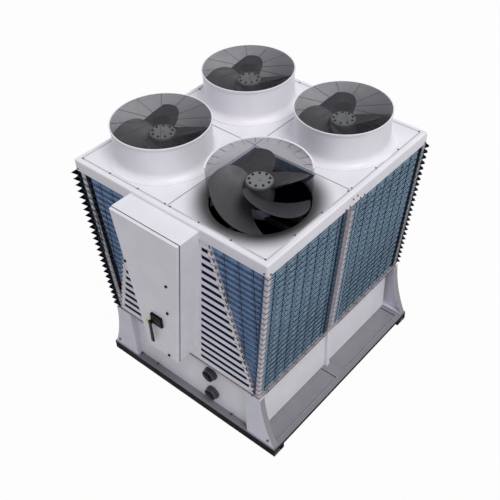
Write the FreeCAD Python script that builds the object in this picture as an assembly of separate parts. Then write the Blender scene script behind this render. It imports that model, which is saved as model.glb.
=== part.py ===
import FreeCAD
import Part
import math
import os

# Modular air-cooled water chiller. Four axial fans stand on a flat deck over two leaning coils, with a
# narrower machine base below the coils and a tapered control cabinet on the front.
# Millimetres. X runs along the front, Y runs from front to back, Z is up. The origin is the centre of
# the footprint, on the ground.

V = FreeCAD.Vector

# Overall form
WIDTH = 1900.0
DEPTH = 1960.0
DECK_TOP = 2145.0
FASCIA_HEIGHT = 100.0
FACE_SETBACK = 10.0
WAIST_Z = 655.0
WAIST_SETBACK = 150.0

# Skid
RAIL_TOP = 84.0
RAIL_DEPTH = 85.0
RAIL_WALL = 6.0
SIDE_RAIL_WIDTH = 60.0
SIDE_RAIL_BOTTOM = 50.0
CROSS_WIDTH = 115.0
RUNNER_WIDTH = 40.0
ANCHOR_INSET_X = 45.0
ANCHOR_INSET_Y = 45.0
ANCHOR_RADIUS = 9.0
PAD_LENGTH = 40.0
PAN_SHEET = 6.0
POCKET_DEPTH = 4.0
POCKET_RIM = 36.0

# Machine base
LOWER_PANEL_SETBACK_Y = 60.0
LOWER_PANEL_SETBACK_X = 220.0
LOWER_PANEL_SHEET = 20.0
LEG_SETBACK = 8.0
LEG_SEAM_INSET = 150.0
LEG_TOP_REACH = 16.0
LEG_BELLY_REACH = 52.0
LEG_FOOT_SETBACK = 10.0
LEG_SHEET = 8.0
SILL_HEIGHT = 35.0
SILL_LIP = 10.0
SILL_PROUD = 6.0
SILL_GROOVE = 8.0
SILL_WIDTH_X = 110.0
SILL_WIDTH_Y = 90.0
DRAIN_SHEET = 6.0
STRUT_HALF = 18.0
STRUT_DEPTH = 30.0

# Coils and their faces
COIL_THICKNESS = 60.0
COIL_SETBACK = 11.0
POST_WIDTH = 45.0
CENTRE_POST_HALF = 57.0
CENTRE_POST_DEPTH = 10.0
DIAGONAL_TOP_INSET = 550.0
DIAGONAL_FOOT_INSET = 55.0
DIAGONAL_STRIP = 30.0
FACE_SHEET = 20.0
INNER_SEAM_TOP = 330.0
INNER_SEAM_FOOT = 168.0
LOUVRE_SHEET = 5.0
LOUVRE_COUNT = 17
LOUVRE_FOOT_GAP = 45.0
LOUVRE_HEAD_GAP = 35.0
LOUVRE_SLOT = 36.0
LOUVRE_MARGIN = 20.0

# Guards
GUARD_PERIODS = 24
GUARD_TIP = 38.0
GUARD_BAR = 6.0
GUARD_STILE_INSETS_Y = (82.0, 908.0)
GUARD_STILE_INSETS_X = (260.0, 390.0)
TOOTH_SHEET = 6.0
TOOTH_ROOT = 32.0

# Deck
DECK_RIM = 43.0
DECK_SHEET = 8.0
DECK_EDGE_RADIUS = 14.0
DECK_LEDGE = 20.0
DECK_BEAM = 34.0
PANEL_SHEET = 20.0
PANEL_SEAM = 4.0

# Fan bays
STACK_BORE = 366.0
STACK_WALL = 8.0
STACK_HEIGHT = 285.0
STACK_LIP = 6.0
STACK_LIP_HEIGHT = 14.0
STACK_SKIRT_RADIUS = 430.0
STACK_SKIRT_HEIGHT = 70.0
STACK_SKIRT_DROOP = (0.3, 0.32)
STACK_FOOT = 5.0
GRILLE_BAR = 6.0
GRILLE_SPOKES = 12
GRILLE_EYE = 62.0
GRILLE_MID = 215.0
GRILLE_CLEARANCE = 0.5
BAYS = {"front_left": (-1, -1), "front_right": (1, -1), "back_left": (-1, 1), "back_right": (1, 1)}
CUT_BAY = "front_right"
CUT_START = 38.0
CUT_SWEEP = 180.0
CUT_PAST_FAN_X = 125.0
CUT_PAST_FAN_Y = 10.0

# Rotors. Blade angles are in degrees at the root and the tip, rises are heights above the deck.
ROTOR_TIP = 354.0
HUB_RADIUS = 105.0
HUB_RISE = 185.0
HUB_HEIGHT = 160.0
HUB_CHAMFER = 8.0
BLADE_COUNT = 4
BLADE_SHEET = 6.0
BLADE_GRID = 7
BLADE_ROOT = 95.0
BLADE_HIGH_ANGLES = (-95.0, -46.0)
BLADE_HIGH_BEND = 1.6
BLADE_HIGH_RISES = (150.0, 232.0, 197.0)
BLADE_LOW_ANGLES = (-2.0, 45.0)
BLADE_LOW_BEND = 0.6
BLADE_LOW_RISES = (37.0, -26.0)
BLADE_SAG = 47.0
SHAFT_RADIUS = 14.0
SHAFT_CLEARANCE = 0.3
SHAFT_IN_HUB = 60.0
MOTOR_RADIUS = 75.0
MOTOR_GAP = 10.0
MOTOR_LENGTH = 130.0
BRACKET_SPREAD = 55.0
BRACKET_WIDTH = 30.0
BRACKET_HEIGHT = 30.0

# Control cabinet
CABINET_TOP_HALF = 340.0
CABINET_FOOT_HALF = 160.0
CABINET_TOP_DROP = 32.0
CABINET_FOOT_RISE = 137.0
CABINET_OUT = 205.0
COVER_SHEET = 24.0
COVER_INSET = 4.0
COVER_EDGE_RADIUS = 4.0
LOCK_RADIUS = 12.0
LOCK_HEIGHT = 8.0
LOCK_PLACES = ((-264.0, 1645.0), (162.0, 1640.0), (131.0, 1340.0), (72.0, 825.0))
SWITCH_X = 0.0
SWITCH_Z = 1185.0
SWITCH_WIDTH = 113.0
SWITCH_HEIGHT = 100.0
SWITCH_DEPTH = 20.0
LEVER_PIVOT_X = -60.0
LEVER_PIVOT_Z = 1138.0
LEVER_BOSS = 18.0
LEVER_PIN = 7.0
LEVER_CLEARANCE = 0.3
LEVER_GAP = 5.0
LEVER_SHEET = 12.0
LEVER_LENGTH = 215.0
LEVER_WIDTH = 28.0
DISC_X = -117.0
DISC_Z = 1097.0
DISC_RADIUS = 22.0
DISC_HEIGHT = 8.0

# Water connections
PIPE_X = 240.0
PIPE_ZS = (475.0, 230.0)
PIPE_RADIUS = 57.0
PIPE_WALL = 5.0
PIPE_OUT = 52.0
PIPE_IN = 90.0
PIPE_COLLAR = 64.0
PIPE_COLLAR_LENGTH = 22.0
PIPE_CLEARANCE = 0.3

# Values worked out from the ones above
HALF_W = WIDTH / 2.0
HALF_D = DEPTH / 2.0
DECK_FOOT = DECK_TOP - FASCIA_HEIGHT
FACE_Y = HALF_D - FACE_SETBACK
WAIST_HALF = HALF_W - WAIST_SETBACK
PAN_TOP = RAIL_TOP + PAN_SHEET
SILL_FOOT = WAIST_Z - SILL_HEIGHT
SILL_INNER_X = WAIST_HALF - SILL_WIDTH_X
SILL_INNER_Y = FACE_Y - SILL_WIDTH_Y
LOWER_PANEL_FRONT = HALF_D - LOWER_PANEL_SETBACK_Y
LOWER_PANEL_SIDE = HALF_W - LOWER_PANEL_SETBACK_X
LEG_FACE = HALF_D - LEG_SETBACK
DIAGONAL_TOP = HALF_W - DIAGONAL_TOP_INSET
DIAGONAL_FOOT = WAIST_HALF - DIAGONAL_FOOT_INSET
SIDE_VALLEY = GUARD_BAR - COIL_SETBACK
END_VALLEY = GUARD_BAR
FAN_X = HALF_W / 2.0
FAN_Y = HALF_D / 2.0
STACK_TOP = DECK_TOP + STACK_HEIGHT
HUB_TOP = DECK_TOP + HUB_RISE
HUB_FOOT = HUB_TOP - HUB_HEIGHT
CABINET_TOP_Z = DECK_TOP - CABINET_TOP_DROP
CABINET_FOOT_Z = WAIST_Z + CABINET_FOOT_RISE
CABINET_FRONT = HALF_D + CABINET_OUT


def box(x0, x1, y0, y1, z0, z1):
    """A box between two corners, given as ranges."""
    return Part.makeBox(x1 - x0, y1 - y0, z1 - z0, V(x0, y0, z0))


def prism(points, direction):
    """A flat outline of points carried along a direction."""
    outline = Part.makePolygon(points + [points[0]])
    return Part.Face(outline).extrude(direction)


def prism_y(outline, y0, y1):
    """An outline of (x, z) pairs carried from y0 to y1."""
    return prism([V(x, y0, z) for x, z in outline], V(0, y1 - y0, 0))


def rod(radius, length, start, direction):
    """A round bar."""
    return Part.makeCylinder(radius, length, start, direction)


def fuse(shapes):
    """One solid made of shapes that meet, with the seams between flush faces removed."""
    return shapes[0].fuse(shapes[1:]).removeSplitter()


def flip_x(shape):
    """The shape as it is on the other side of the unit, left for right."""
    return shape.mirror(V(0, 0, 0), V(1, 0, 0))


def flip_y(shape):
    """The shape as it is at the other end of the unit, front for back."""
    return shape.mirror(V(0, 0, 0), V(0, 1, 0))


def both_sides(shape):
    """The shape and its left-for-right copy."""
    return [shape, flip_x(shape)]


def four_corners(shape):
    """The shape at all four corners of the unit."""
    pair = both_sides(shape)
    return pair + [flip_y(one) for one in pair]


def corner_x(z):
    """Half-width of the coil corners at a height: they lean in towards the waist."""
    rise = (z - WAIST_Z) / (DECK_FOOT - WAIST_Z)
    return WAIST_HALF + (HALF_W - WAIST_HALF) * rise


def diagonal_x(z):
    """Half-width of the slanted line that parts the louvres from the coil on each end face."""
    rise = (z - WAIST_Z) / (DECK_FOOT - WAIST_Z)
    return DIAGONAL_FOOT + (DIAGONAL_TOP - DIAGONAL_FOOT) * rise


def seam_x(z):
    """Half-width of the seam between the middle panel and the louvres."""
    rise = (z - WAIST_Z) / (DECK_FOOT - WAIST_Z)
    return INNER_SEAM_FOOT + (INNER_SEAM_TOP - INNER_SEAM_FOOT) * rise


def guard_levels():
    """Heights of the valleys and tips of the zigzag guard, as (height, is_tip), from the waist up."""
    step = (DECK_FOOT - WAIST_Z) / (2 * GUARD_PERIODS)
    return [(WAIST_Z + step * i, i % 2 == 1) for i in range(2 * GUARD_PERIODS + 1)]


def base_frame():
    """Welded skid: deep channels at the front and back, shallow rails that stand clear at the sides."""
    end_rail = box(-HALF_W, HALF_W, -HALF_D, -HALF_D + RAIL_DEPTH, 0, RAIL_TOP)
    end_hollow = box(-HALF_W - 1, HALF_W + 1, -HALF_D + RAIL_WALL, -HALF_D + RAIL_DEPTH + 1,
                     RAIL_WALL, RAIL_TOP - RAIL_WALL)
    end_rail = end_rail.cut(end_hollow)
    anchor = rod(ANCHOR_RADIUS, 2 * RAIL_WALL,
                 V(HALF_W - ANCHOR_INSET_X, ANCHOR_INSET_Y - HALF_D, -RAIL_WALL / 2), V(0, 0, 1))
    end_rail = end_rail.cut(Part.makeCompound(both_sides(anchor)))
    reach = HALF_D - RAIL_WALL
    side_rail = box(HALF_W - SIDE_RAIL_WIDTH, HALF_W, -reach, reach, SIDE_RAIL_BOTTOM, RAIL_TOP)
    side_hollow = box(HALF_W - SIDE_RAIL_WIDTH - 1, HALF_W - RAIL_WALL, -reach, reach,
                      SIDE_RAIL_BOTTOM + RAIL_WALL, RAIL_TOP - RAIL_WALL)
    side_rail = side_rail.cut(side_hollow)
    runner_middle = LOWER_PANEL_SIDE - LOWER_PANEL_SHEET / 2
    runner = box(runner_middle - RUNNER_WIDTH / 2, runner_middle + RUNNER_WIDTH / 2, -reach, reach,
                 SIDE_RAIL_BOTTOM, RAIL_TOP)
    cross = box(-HALF_W + RAIL_WALL, HALF_W - RAIL_WALL, -CROSS_WIDTH / 2, CROSS_WIDTH / 2,
                SIDE_RAIL_BOTTOM, RAIL_TOP)
    cross_hollow = box(-HALF_W, HALF_W, -CROSS_WIDTH / 2 + RAIL_WALL, CROSS_WIDTH / 2 - RAIL_WALL,
                       SIDE_RAIL_BOTTOM - 1, RAIL_TOP - RAIL_WALL)
    cross = cross.cut(cross_hollow)
    members = [end_rail, flip_y(end_rail), cross]
    members += both_sides(side_rail) + both_sides(runner)
    return fuse(members)


def corner_pads():
    """Black feet under the ends of the side rails."""
    start = HALF_D - RAIL_DEPTH
    pad = box(HALF_W - SIDE_RAIL_WIDTH, HALF_W, -start, -start + PAD_LENGTH, 0, SIDE_RAIL_BOTTOM)
    return Part.makeCompound(four_corners(pad))


def base_pan():
    """Grey sheet over the skid, with a shallow tray on each side of the middle member."""
    sheet = box(-HALF_W, HALF_W, -HALF_D, HALF_D, RAIL_TOP, PAN_TOP)
    pocket = box(LOWER_PANEL_SIDE + RUNNER_WIDTH / 4, HALF_W - POCKET_RIM, CROSS_WIDTH / 2,
                 LOWER_PANEL_FRONT - POCKET_RIM, PAN_TOP - POCKET_DEPTH, PAN_TOP + 1)
    return sheet.cut(Part.makeCompound(four_corners(pocket)))


def leg(top):
    """Folded corner leg: a flat face with a flared outer edge, open towards the middle of the unit."""
    def outline(inset):
        seam = WAIST_HALF - LEG_SEAM_INSET + inset
        foot = V(HALF_W - LEG_FOOT_SETBACK - inset, 0, PAN_TOP + inset)
        belly = V(WAIST_HALF + LEG_BELLY_REACH - inset, 0, (PAN_TOP + top) / 2)
        head = V(WAIST_HALF + LEG_TOP_REACH - inset, 0, top - inset)
        flare = Part.Arc(foot, belly, head).toShape()
        edges = [Part.LineSegment(V(seam, 0, PAN_TOP + inset), foot).toShape(), flare,
                 Part.LineSegment(head, V(seam, 0, top - inset)).toShape(),
                 Part.LineSegment(V(seam, 0, top - inset), V(seam, 0, PAN_TOP + inset)).toShape()]
        return Part.Face(Part.Wire(edges))
    fold = LEG_FACE - LOWER_PANEL_FRONT
    body = outline(0).extrude(V(0, fold, 0))
    body.translate(V(0, -LEG_FACE, 0))
    hollow = outline(LEG_SHEET).extrude(V(0, fold, 0))
    hollow.translate(V(0, LEG_SHEET - LEG_FACE, 0))
    return body.cut(hollow)


def legs():
    """The four corner legs."""
    return Part.makeCompound(four_corners(leg(SILL_FOOT)))


def lower_panel_front():
    """Sheet that closes the machine base at the front, with a hole for each water pipe."""
    sheet = box(-LOWER_PANEL_SIDE, LOWER_PANEL_SIDE, -LOWER_PANEL_FRONT,
                LOWER_PANEL_SHEET - LOWER_PANEL_FRONT, PAN_TOP, SILL_FOOT)
    holes = [rod(PIPE_RADIUS + PIPE_CLEARANCE, LOWER_PANEL_SHEET + 2,
                 V(PIPE_X, -LOWER_PANEL_FRONT - 1, z), V(0, 1, 0)) for z in PIPE_ZS]
    return sheet.cut(Part.makeCompound(holes))


def lower_panel_back():
    """Plain sheet that closes the machine base at the back."""
    return box(-LOWER_PANEL_SIDE, LOWER_PANEL_SIDE, LOWER_PANEL_FRONT - LOWER_PANEL_SHEET,
               LOWER_PANEL_FRONT, PAN_TOP, SILL_FOOT)


def lower_side_panels():
    """Sheets that close the machine base at the sides."""
    reach = LOWER_PANEL_FRONT - LOWER_PANEL_SHEET
    sheet = box(LOWER_PANEL_SIDE - LOWER_PANEL_SHEET, LOWER_PANEL_SIDE, -reach, reach, PAN_TOP, SILL_FOOT)
    return Part.makeCompound(both_sides(sheet))


def side_struts():
    """Upright in the middle of each side, between the skid and the sill."""
    strut = box(LOWER_PANEL_SIDE, LOWER_PANEL_SIDE + STRUT_DEPTH, -STRUT_HALF, STRUT_HALF,
                PAN_TOP, SILL_FOOT)
    return Part.makeCompound(both_sides(strut))


def waist_frame():
    """Folded sill that carries the coils: two lips with a groove between them, all the way round."""
    def ring(half_x, half_y, z0, z1):
        outer = box(-half_x, half_x, -half_y, half_y, z0, z1)
        return outer.cut(box(-SILL_INNER_X, SILL_INNER_X, -SILL_INNER_Y, SILL_INNER_Y, z0 - 1, z1 + 1))
    half_x = WAIST_HALF + SILL_PROUD
    lower = ring(half_x, FACE_Y, SILL_FOOT, SILL_FOOT + SILL_LIP)
    middle = ring(half_x - SILL_GROOVE, FACE_Y - SILL_GROOVE, SILL_FOOT + SILL_LIP, WAIST_Z - SILL_LIP)
    upper = ring(half_x, FACE_Y, WAIST_Z - SILL_LIP, WAIST_Z)
    return fuse([lower, middle, upper])


def drain_pan():
    """Tray under the coils, inside the sill."""
    return box(-SILL_INNER_X, SILL_INNER_X, -SILL_INNER_Y, SILL_INNER_Y,
               SILL_FOOT, SILL_FOOT + DRAIN_SHEET)


def coil():
    """Right-hand coil: a leaning slab with a three-cornered return at each end of the unit."""
    def slab_x(z, inset):
        return corner_x(z) - COIL_SETBACK - inset
    reach = FACE_Y - POST_WIDTH
    slab = prism_y([(slab_x(WAIST_Z, COIL_THICKNESS), WAIST_Z), (slab_x(WAIST_Z, 0), WAIST_Z),
                    (slab_x(DECK_FOOT, 0), DECK_FOOT), (slab_x(DECK_FOOT, COIL_THICKNESS), DECK_FOOT)],
                   -reach, reach)
    lean = (corner_x(DECK_FOOT) - diagonal_x(DECK_FOOT)) - (corner_x(WAIST_Z) - diagonal_x(WAIST_Z))
    short = DIAGONAL_STRIP + POST_WIDTH - (corner_x(WAIST_Z) - diagonal_x(WAIST_Z))
    foot_z = WAIST_Z + (DECK_FOOT - WAIST_Z) * short / lean
    end_face = [(corner_x(foot_z) - POST_WIDTH, foot_z), (corner_x(DECK_FOOT) - POST_WIDTH, DECK_FOOT),
                (diagonal_x(DECK_FOOT) + DIAGONAL_STRIP, DECK_FOOT)]
    front = FACE_Y - COIL_SETBACK
    end_return = prism_y(end_face, -front, -front + COIL_THICKNESS)
    return fuse([slab, end_return, flip_y(end_return)])


def coil_left():
    """Left-hand coil."""
    return flip_x(coil())


def corner_posts():
    """Leaning posts at the four coil corners."""
    post = prism_y([(corner_x(WAIST_Z) - POST_WIDTH, WAIST_Z), (corner_x(WAIST_Z), WAIST_Z),
                    (corner_x(DECK_FOOT), DECK_FOOT), (corner_x(DECK_FOOT) - POST_WIDTH, DECK_FOOT)],
                   -FACE_Y, POST_WIDTH - FACE_Y)
    return Part.makeCompound(four_corners(post))


def centre_posts():
    """Flat strip up the middle of each coil, between the two guards."""
    def strip_x(z, out):
        return corner_x(z) - COIL_SETBACK + out
    section = [(strip_x(WAIST_Z, 0), WAIST_Z), (strip_x(WAIST_Z, CENTRE_POST_DEPTH), WAIST_Z),
               (strip_x(DECK_FOOT, CENTRE_POST_DEPTH), DECK_FOOT), (strip_x(DECK_FOOT, 0), DECK_FOOT)]
    strip = prism_y(section, -CENTRE_POST_HALF, CENTRE_POST_HALF)
    return Part.makeCompound(both_sides(strip))


def diagonal_strips():
    """Edge strips that follow the slanted line on the end faces."""
    outline = [(diagonal_x(WAIST_Z), WAIST_Z), (corner_x(WAIST_Z) - POST_WIDTH, WAIST_Z),
               (corner_x(WAIST_Z) - POST_WIDTH, WAIST_Z + POST_WIDTH),
               (diagonal_x(DECK_FOOT) + DIAGONAL_STRIP, DECK_FOOT), (diagonal_x(DECK_FOOT), DECK_FOOT)]
    strip = prism_y(outline, -FACE_Y, FACE_SHEET - FACE_Y)
    return Part.makeCompound(four_corners(strip))


def louvre_panel():
    """Right-hand front louvre panel: a tapered thin sheet cut by level slots."""
    sheet = prism_y([(seam_x(WAIST_Z), WAIST_Z), (diagonal_x(WAIST_Z), WAIST_Z),
                     (diagonal_x(DECK_FOOT), DECK_FOOT), (seam_x(DECK_FOOT), DECK_FOOT)],
                    -FACE_Y, LOUVRE_SHEET - FACE_Y)
    first_z = WAIST_Z + LOUVRE_FOOT_GAP
    pitch = (DECK_FOOT - LOUVRE_HEAD_GAP - first_z) / LOUVRE_COUNT
    slots = []
    for i in range(LOUVRE_COUNT):
        z0 = first_z + pitch * i
        z1 = z0 + LOUVRE_SLOT
        inner = seam_x(z0) + LOUVRE_MARGIN
        outer = diagonal_x(z1) - LOUVRE_MARGIN
        if outer > inner:
            slots.append(box(inner, outer, -FACE_Y - 1, LOUVRE_SHEET + 1 - FACE_Y, z0, z1))
    return sheet.cut(Part.makeCompound(slots))


def louvre_panels():
    """The two louvre panels on each end face."""
    return Part.makeCompound(four_corners(louvre_panel()))


def middle_panels():
    """Plain sheet between the louvre panels on each end face; the front one carries the cabinet."""
    front = prism_y([(-seam_x(WAIST_Z), WAIST_Z), (seam_x(WAIST_Z), WAIST_Z),
                     (seam_x(DECK_FOOT), DECK_FOOT), (-seam_x(DECK_FOOT), DECK_FOOT)],
                    -FACE_Y, FACE_SHEET - FACE_Y)
    return Part.makeCompound([front, flip_y(front)])


def side_guard():
    """Guard over the right-hand coil: zigzag uprights with a level bar at each tip."""
    levels = guard_levels()

    def line_x(z, is_tip, inset):
        return corner_x(z) + (GUARD_TIP if is_tip else SIDE_VALLEY) - inset
    outer = [(line_x(z, is_tip, 0), z) for z, is_tip in levels]
    inner = [(line_x(z, is_tip, GUARD_BAR), z) for z, is_tip in reversed(levels)]
    bars = []
    for stile_inset in GUARD_STILE_INSETS_Y:
        y = FACE_Y - stile_inset
        upright = prism_y(outer + inner, y - GUARD_BAR / 2, y + GUARD_BAR / 2)
        bars += [upright, flip_y(upright)]
    reach = FACE_Y + GUARD_TIP
    for z, is_tip in levels:
        if is_tip:
            x = line_x(z, True, 0)
            bars.append(box(x - GUARD_BAR, x, -reach, reach, z - GUARD_BAR / 2, z + GUARD_BAR / 2))
    return fuse(bars)


def end_guard():
    """Guard over the three-cornered end of the right-hand coil, on the front. Its outer stile leans with
    the post, the others stand upright over the coil."""
    levels = guard_levels()

    def stile(run, place):
        outer = [(-FACE_Y - (GUARD_TIP if is_tip else END_VALLEY), z) for z, is_tip in run]
        inner = [(y + GUARD_BAR, z) for y, z in reversed(outer)]
        return prism([V(place(z), y, z) for y, z in outer + inner], V(GUARD_BAR, 0, 0))
    bars = [stile(levels, lambda z: corner_x(z) - POST_WIDTH - GUARD_BAR / 2)]
    for stile_inset in GUARD_STILE_INSETS_X:
        x = HALF_W - stile_inset
        run = [(z, is_tip) for z, is_tip in levels
               if diagonal_x(z) + DIAGONAL_STRIP < x < corner_x(z) - POST_WIDTH - GUARD_BAR]
        bars.append(stile(run, lambda z: x - GUARD_BAR / 2))
    reach = FACE_Y + GUARD_TIP
    for z, is_tip in levels:
        start = diagonal_x(z) + DIAGONAL_STRIP / 2
        end = corner_x(z) + GUARD_TIP - GUARD_BAR
        if is_tip:
            bars.append(box(start, end, -reach, GUARD_BAR - reach, z - GUARD_BAR / 2, z + GUARD_BAR / 2))
    return fuse(bars)


def tooth_plates():
    """Toothed black plates that close the guards at the left front and right back corners."""
    teeth = [(corner_x(z) + (GUARD_TIP - GUARD_BAR if is_tip else SIDE_VALLEY), z)
             for z, is_tip in guard_levels()]
    back = [(corner_x(DECK_FOOT) - TOOTH_ROOT, DECK_FOOT), (corner_x(WAIST_Z) - TOOTH_ROOT, WAIST_Z)]
    plate = prism_y(teeth + back, FACE_Y, FACE_Y + TOOTH_SHEET)
    return Part.makeCompound([plate, flip_x(flip_y(plate))])


def deck_frame():
    """Folded frame round the deck with rounded top edges, a ledge inside and two crossed beams."""
    block = box(-HALF_W, HALF_W, -HALF_D, HALF_D, DECK_FOOT, DECK_TOP)
    rim = [edge for edge in block.Edges if abs(edge.BoundBox.ZMin - DECK_TOP) < 0.01]
    upright = [edge for edge in block.Edges if edge.BoundBox.ZLength > FASCIA_HEIGHT / 2]
    block = block.makeFillet(DECK_EDGE_RADIUS, rim + upright)
    well_x = HALF_W - DECK_RIM
    well_y = HALF_D - DECK_RIM
    ledge_z = DECK_TOP - PANEL_SHEET
    well = box(-well_x, well_x, -well_y, well_y, ledge_z, DECK_TOP + 1)
    below = box(-well_x + DECK_LEDGE, well_x - DECK_LEDGE, -well_y + DECK_LEDGE, well_y - DECK_LEDGE,
                DECK_FOOT - 1, DECK_TOP)
    groove = box(-HALF_W + DECK_SHEET, HALF_W - DECK_SHEET, -HALF_D + DECK_SHEET, HALF_D - DECK_SHEET,
                 DECK_FOOT + DECK_SHEET, ledge_z - DECK_SHEET)
    ring = block.cut(Part.makeCompound([well])).cut(below).cut(groove)
    reach_x = well_x - DECK_LEDGE
    reach_y = well_y - DECK_LEDGE
    beam_x = box(-reach_x, reach_x, -DECK_BEAM / 2, DECK_BEAM / 2, DECK_FOOT, ledge_z)
    beam_y = box(-DECK_BEAM / 2, DECK_BEAM / 2, -reach_y, reach_y, DECK_FOOT, ledge_z)
    return fuse([ring, beam_x, beam_y])


def deck_panel(side, end):
    """One quarter of the deck, with the round opening of its fan. Side and end are -1 or 1."""
    gap = PANEL_SEAM / 2
    sheet = box(gap, HALF_W - DECK_RIM - gap, gap, HALF_D - DECK_RIM - gap,
                DECK_TOP - PANEL_SHEET, DECK_TOP)
    hole = rod(STACK_BORE, PANEL_SHEET + 2, V(FAN_X, FAN_Y, DECK_TOP - PANEL_SHEET - 1), V(0, 0, 1))
    panel = sheet.cut(hole)
    if (side, end) == BAYS[CUT_BAY]:
        panel = panel.cut(box(0, FAN_X + CUT_PAST_FAN_X, 0, FAN_Y + CUT_PAST_FAN_Y,
                              DECK_TOP - PANEL_SHEET - 1, DECK_TOP + 1))
    if side < 0:
        panel = flip_x(panel)
    if end < 0:
        panel = flip_y(panel)
    return panel


def stack(side, end):
    """Round fan stack: a thin wall with a rolled lip and a hollow-curved skirt at its foot."""
    wall = STACK_BORE + STACK_WALL
    lip = wall + STACK_LIP
    seat = STACK_TOP - GRILLE_BAR
    step = STACK_BORE + STACK_LIP
    skirt_top = V(wall, 0, DECK_TOP + STACK_SKIRT_HEIGHT)
    skirt_foot = V(STACK_SKIRT_RADIUS, 0, DECK_TOP + STACK_FOOT)
    droop_x, droop_z = STACK_SKIRT_DROOP
    skirt_mid = V(wall + droop_x * (STACK_SKIRT_RADIUS - wall), 0,
                  DECK_TOP + STACK_FOOT + droop_z * (STACK_SKIRT_HEIGHT - STACK_FOOT))
    corners = [V(STACK_BORE, 0, DECK_TOP), V(STACK_BORE, 0, seat), V(step, 0, seat),
               V(step, 0, STACK_TOP), V(lip, 0, STACK_TOP), V(lip, 0, STACK_TOP - STACK_LIP_HEIGHT),
               V(wall, 0, STACK_TOP - STACK_LIP_HEIGHT), skirt_top]
    edges = [Part.LineSegment(a, b).toShape() for a, b in zip(corners, corners[1:])]
    edges.append(Part.Arc(skirt_top, skirt_mid, skirt_foot).toShape())
    foot = V(STACK_SKIRT_RADIUS, 0, DECK_TOP)
    edges.append(Part.LineSegment(skirt_foot, foot).toShape())
    edges.append(Part.LineSegment(foot, corners[0]).toShape())
    shell = Part.Face(Part.Wire(edges)).revolve(V(0, 0, 0), V(0, 0, 1), 360)
    shell.translate(V(side * FAN_X, end * FAN_Y, 0))
    return shell


def cut_band(inner, outer, z0, z1):
    """Upright band that follows the part of the cut bay's circle where its stack is kept."""
    side, end = BAYS[CUT_BAY]
    corners = [V(inner, 0, z0), V(outer, 0, z0), V(outer, 0, z1), V(inner, 0, z1)]
    section = Part.Face(Part.makePolygon(corners + [corners[0]]))
    band = section.revolve(V(0, 0, 0), V(0, 0, 1), CUT_SWEEP)
    band.rotate(V(0, 0, 0), V(0, 0, 1), CUT_START)
    band.translate(V(side * FAN_X, end * FAN_Y, 0))
    return band


def cut_stack():
    """Back half of the cut bay's stack wall, without a skirt."""
    return cut_band(STACK_BORE, STACK_BORE + STACK_WALL, DECK_TOP, STACK_TOP - STACK_LIP_HEIGHT)


def cut_rim():
    """Lip on the kept half of the cut bay's stack."""
    outer = STACK_BORE + STACK_WALL + STACK_LIP
    return cut_band(STACK_BORE, outer, STACK_TOP - STACK_LIP_HEIGHT, STACK_TOP)


def grille(side, end):
    """Flat wire grille in the mouth of a stack."""
    z0 = STACK_TOP - GRILLE_BAR
    axis = V(side * FAN_X, end * FAN_Y, z0)
    rim = STACK_BORE + STACK_LIP - GRILLE_CLEARANCE

    def hoop(outer):
        disc = Part.makeCylinder(outer, GRILLE_BAR, axis)
        return disc.cut(Part.makeCylinder(outer - GRILLE_BAR, GRILLE_BAR, axis))
    bars = [hoop(rim), hoop(GRILLE_MID), hoop(GRILLE_EYE)]
    for i in range(GRILLE_SPOKES):
        spoke = box(GRILLE_EYE - GRILLE_BAR / 2, rim - GRILLE_BAR / 2, -GRILLE_BAR / 2, GRILLE_BAR / 2,
                    0, GRILLE_BAR)
        spoke.rotate(V(0, 0, 0), V(0, 0, 1), 360.0 * (i + 0.5) / GRILLE_SPOKES)
        spoke.translate(axis)
        bars.append(spoke)
    return fuse(bars)


def blend(ends, share, bend=1.0):
    """Value on the way from the first end to the second, with the way bent by a power of the share."""
    return ends[0] + (ends[1] - ends[0]) * share ** bend


def blade():
    """One broad blade: a sheet that slopes from an arched high edge to a low edge, both swept."""
    grid = []
    root_z, crest_z, tip_z = [DECK_TOP + rise for rise in BLADE_HIGH_RISES]
    low_zs = [DECK_TOP + rise for rise in BLADE_LOW_RISES]
    for i in range(BLADE_GRID):
        out = i / (BLADE_GRID - 1)
        radius = blend((BLADE_ROOT, ROTOR_TIP), out)
        high_angle = blend(BLADE_HIGH_ANGLES, out, BLADE_HIGH_BEND)
        low_angle = blend(BLADE_LOW_ANGLES, out, BLADE_LOW_BEND)
        arch = 4 * out * (1 - out) * (crest_z - (root_z + tip_z) / 2)
        high_z = blend((root_z, tip_z), out) + arch
        low_z = blend(low_zs, out)
        row = []
        for j in range(BLADE_GRID):
            across = j / (BLADE_GRID - 1)
            angle = math.radians(blend((high_angle, low_angle), across))
            sag = 4 * across * (1 - across) * BLADE_SAG * out
            row.append(V(radius * math.cos(angle), radius * math.sin(angle),
                         blend((high_z, low_z), across) - sag))
        grid.append(row)
    surface = Part.BSplineSurface()
    surface.interpolate(grid)
    return surface.toShape().makeOffsetShape(BLADE_SHEET, 0.01, fill=True)


def rotor(side, end):
    """Fan rotor: a chamfered hub with a shaft bore and four swept blades."""
    hub = Part.makeCylinder(HUB_RADIUS, HUB_HEIGHT, V(0, 0, HUB_FOOT))
    rims = [edge for edge in hub.Edges if edge.Closed and abs(edge.BoundBox.ZMin - HUB_TOP) < 0.01]
    hub = hub.makeChamfer(HUB_CHAMFER, rims)
    blades = []
    for i in range(BLADE_COUNT):
        one = blade()
        one.rotate(V(0, 0, 0), V(0, 0, 1), 360.0 * i / BLADE_COUNT)
        blades.append(one)
    bore = rod(SHAFT_RADIUS + SHAFT_CLEARANCE, SHAFT_IN_HUB + 5, V(0, 0, HUB_FOOT - 1), V(0, 0, 1))
    whole = hub.fuse(blades).cut(bore)
    whole.translate(V(side * FAN_X, end * FAN_Y, 0))
    return whole


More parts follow.
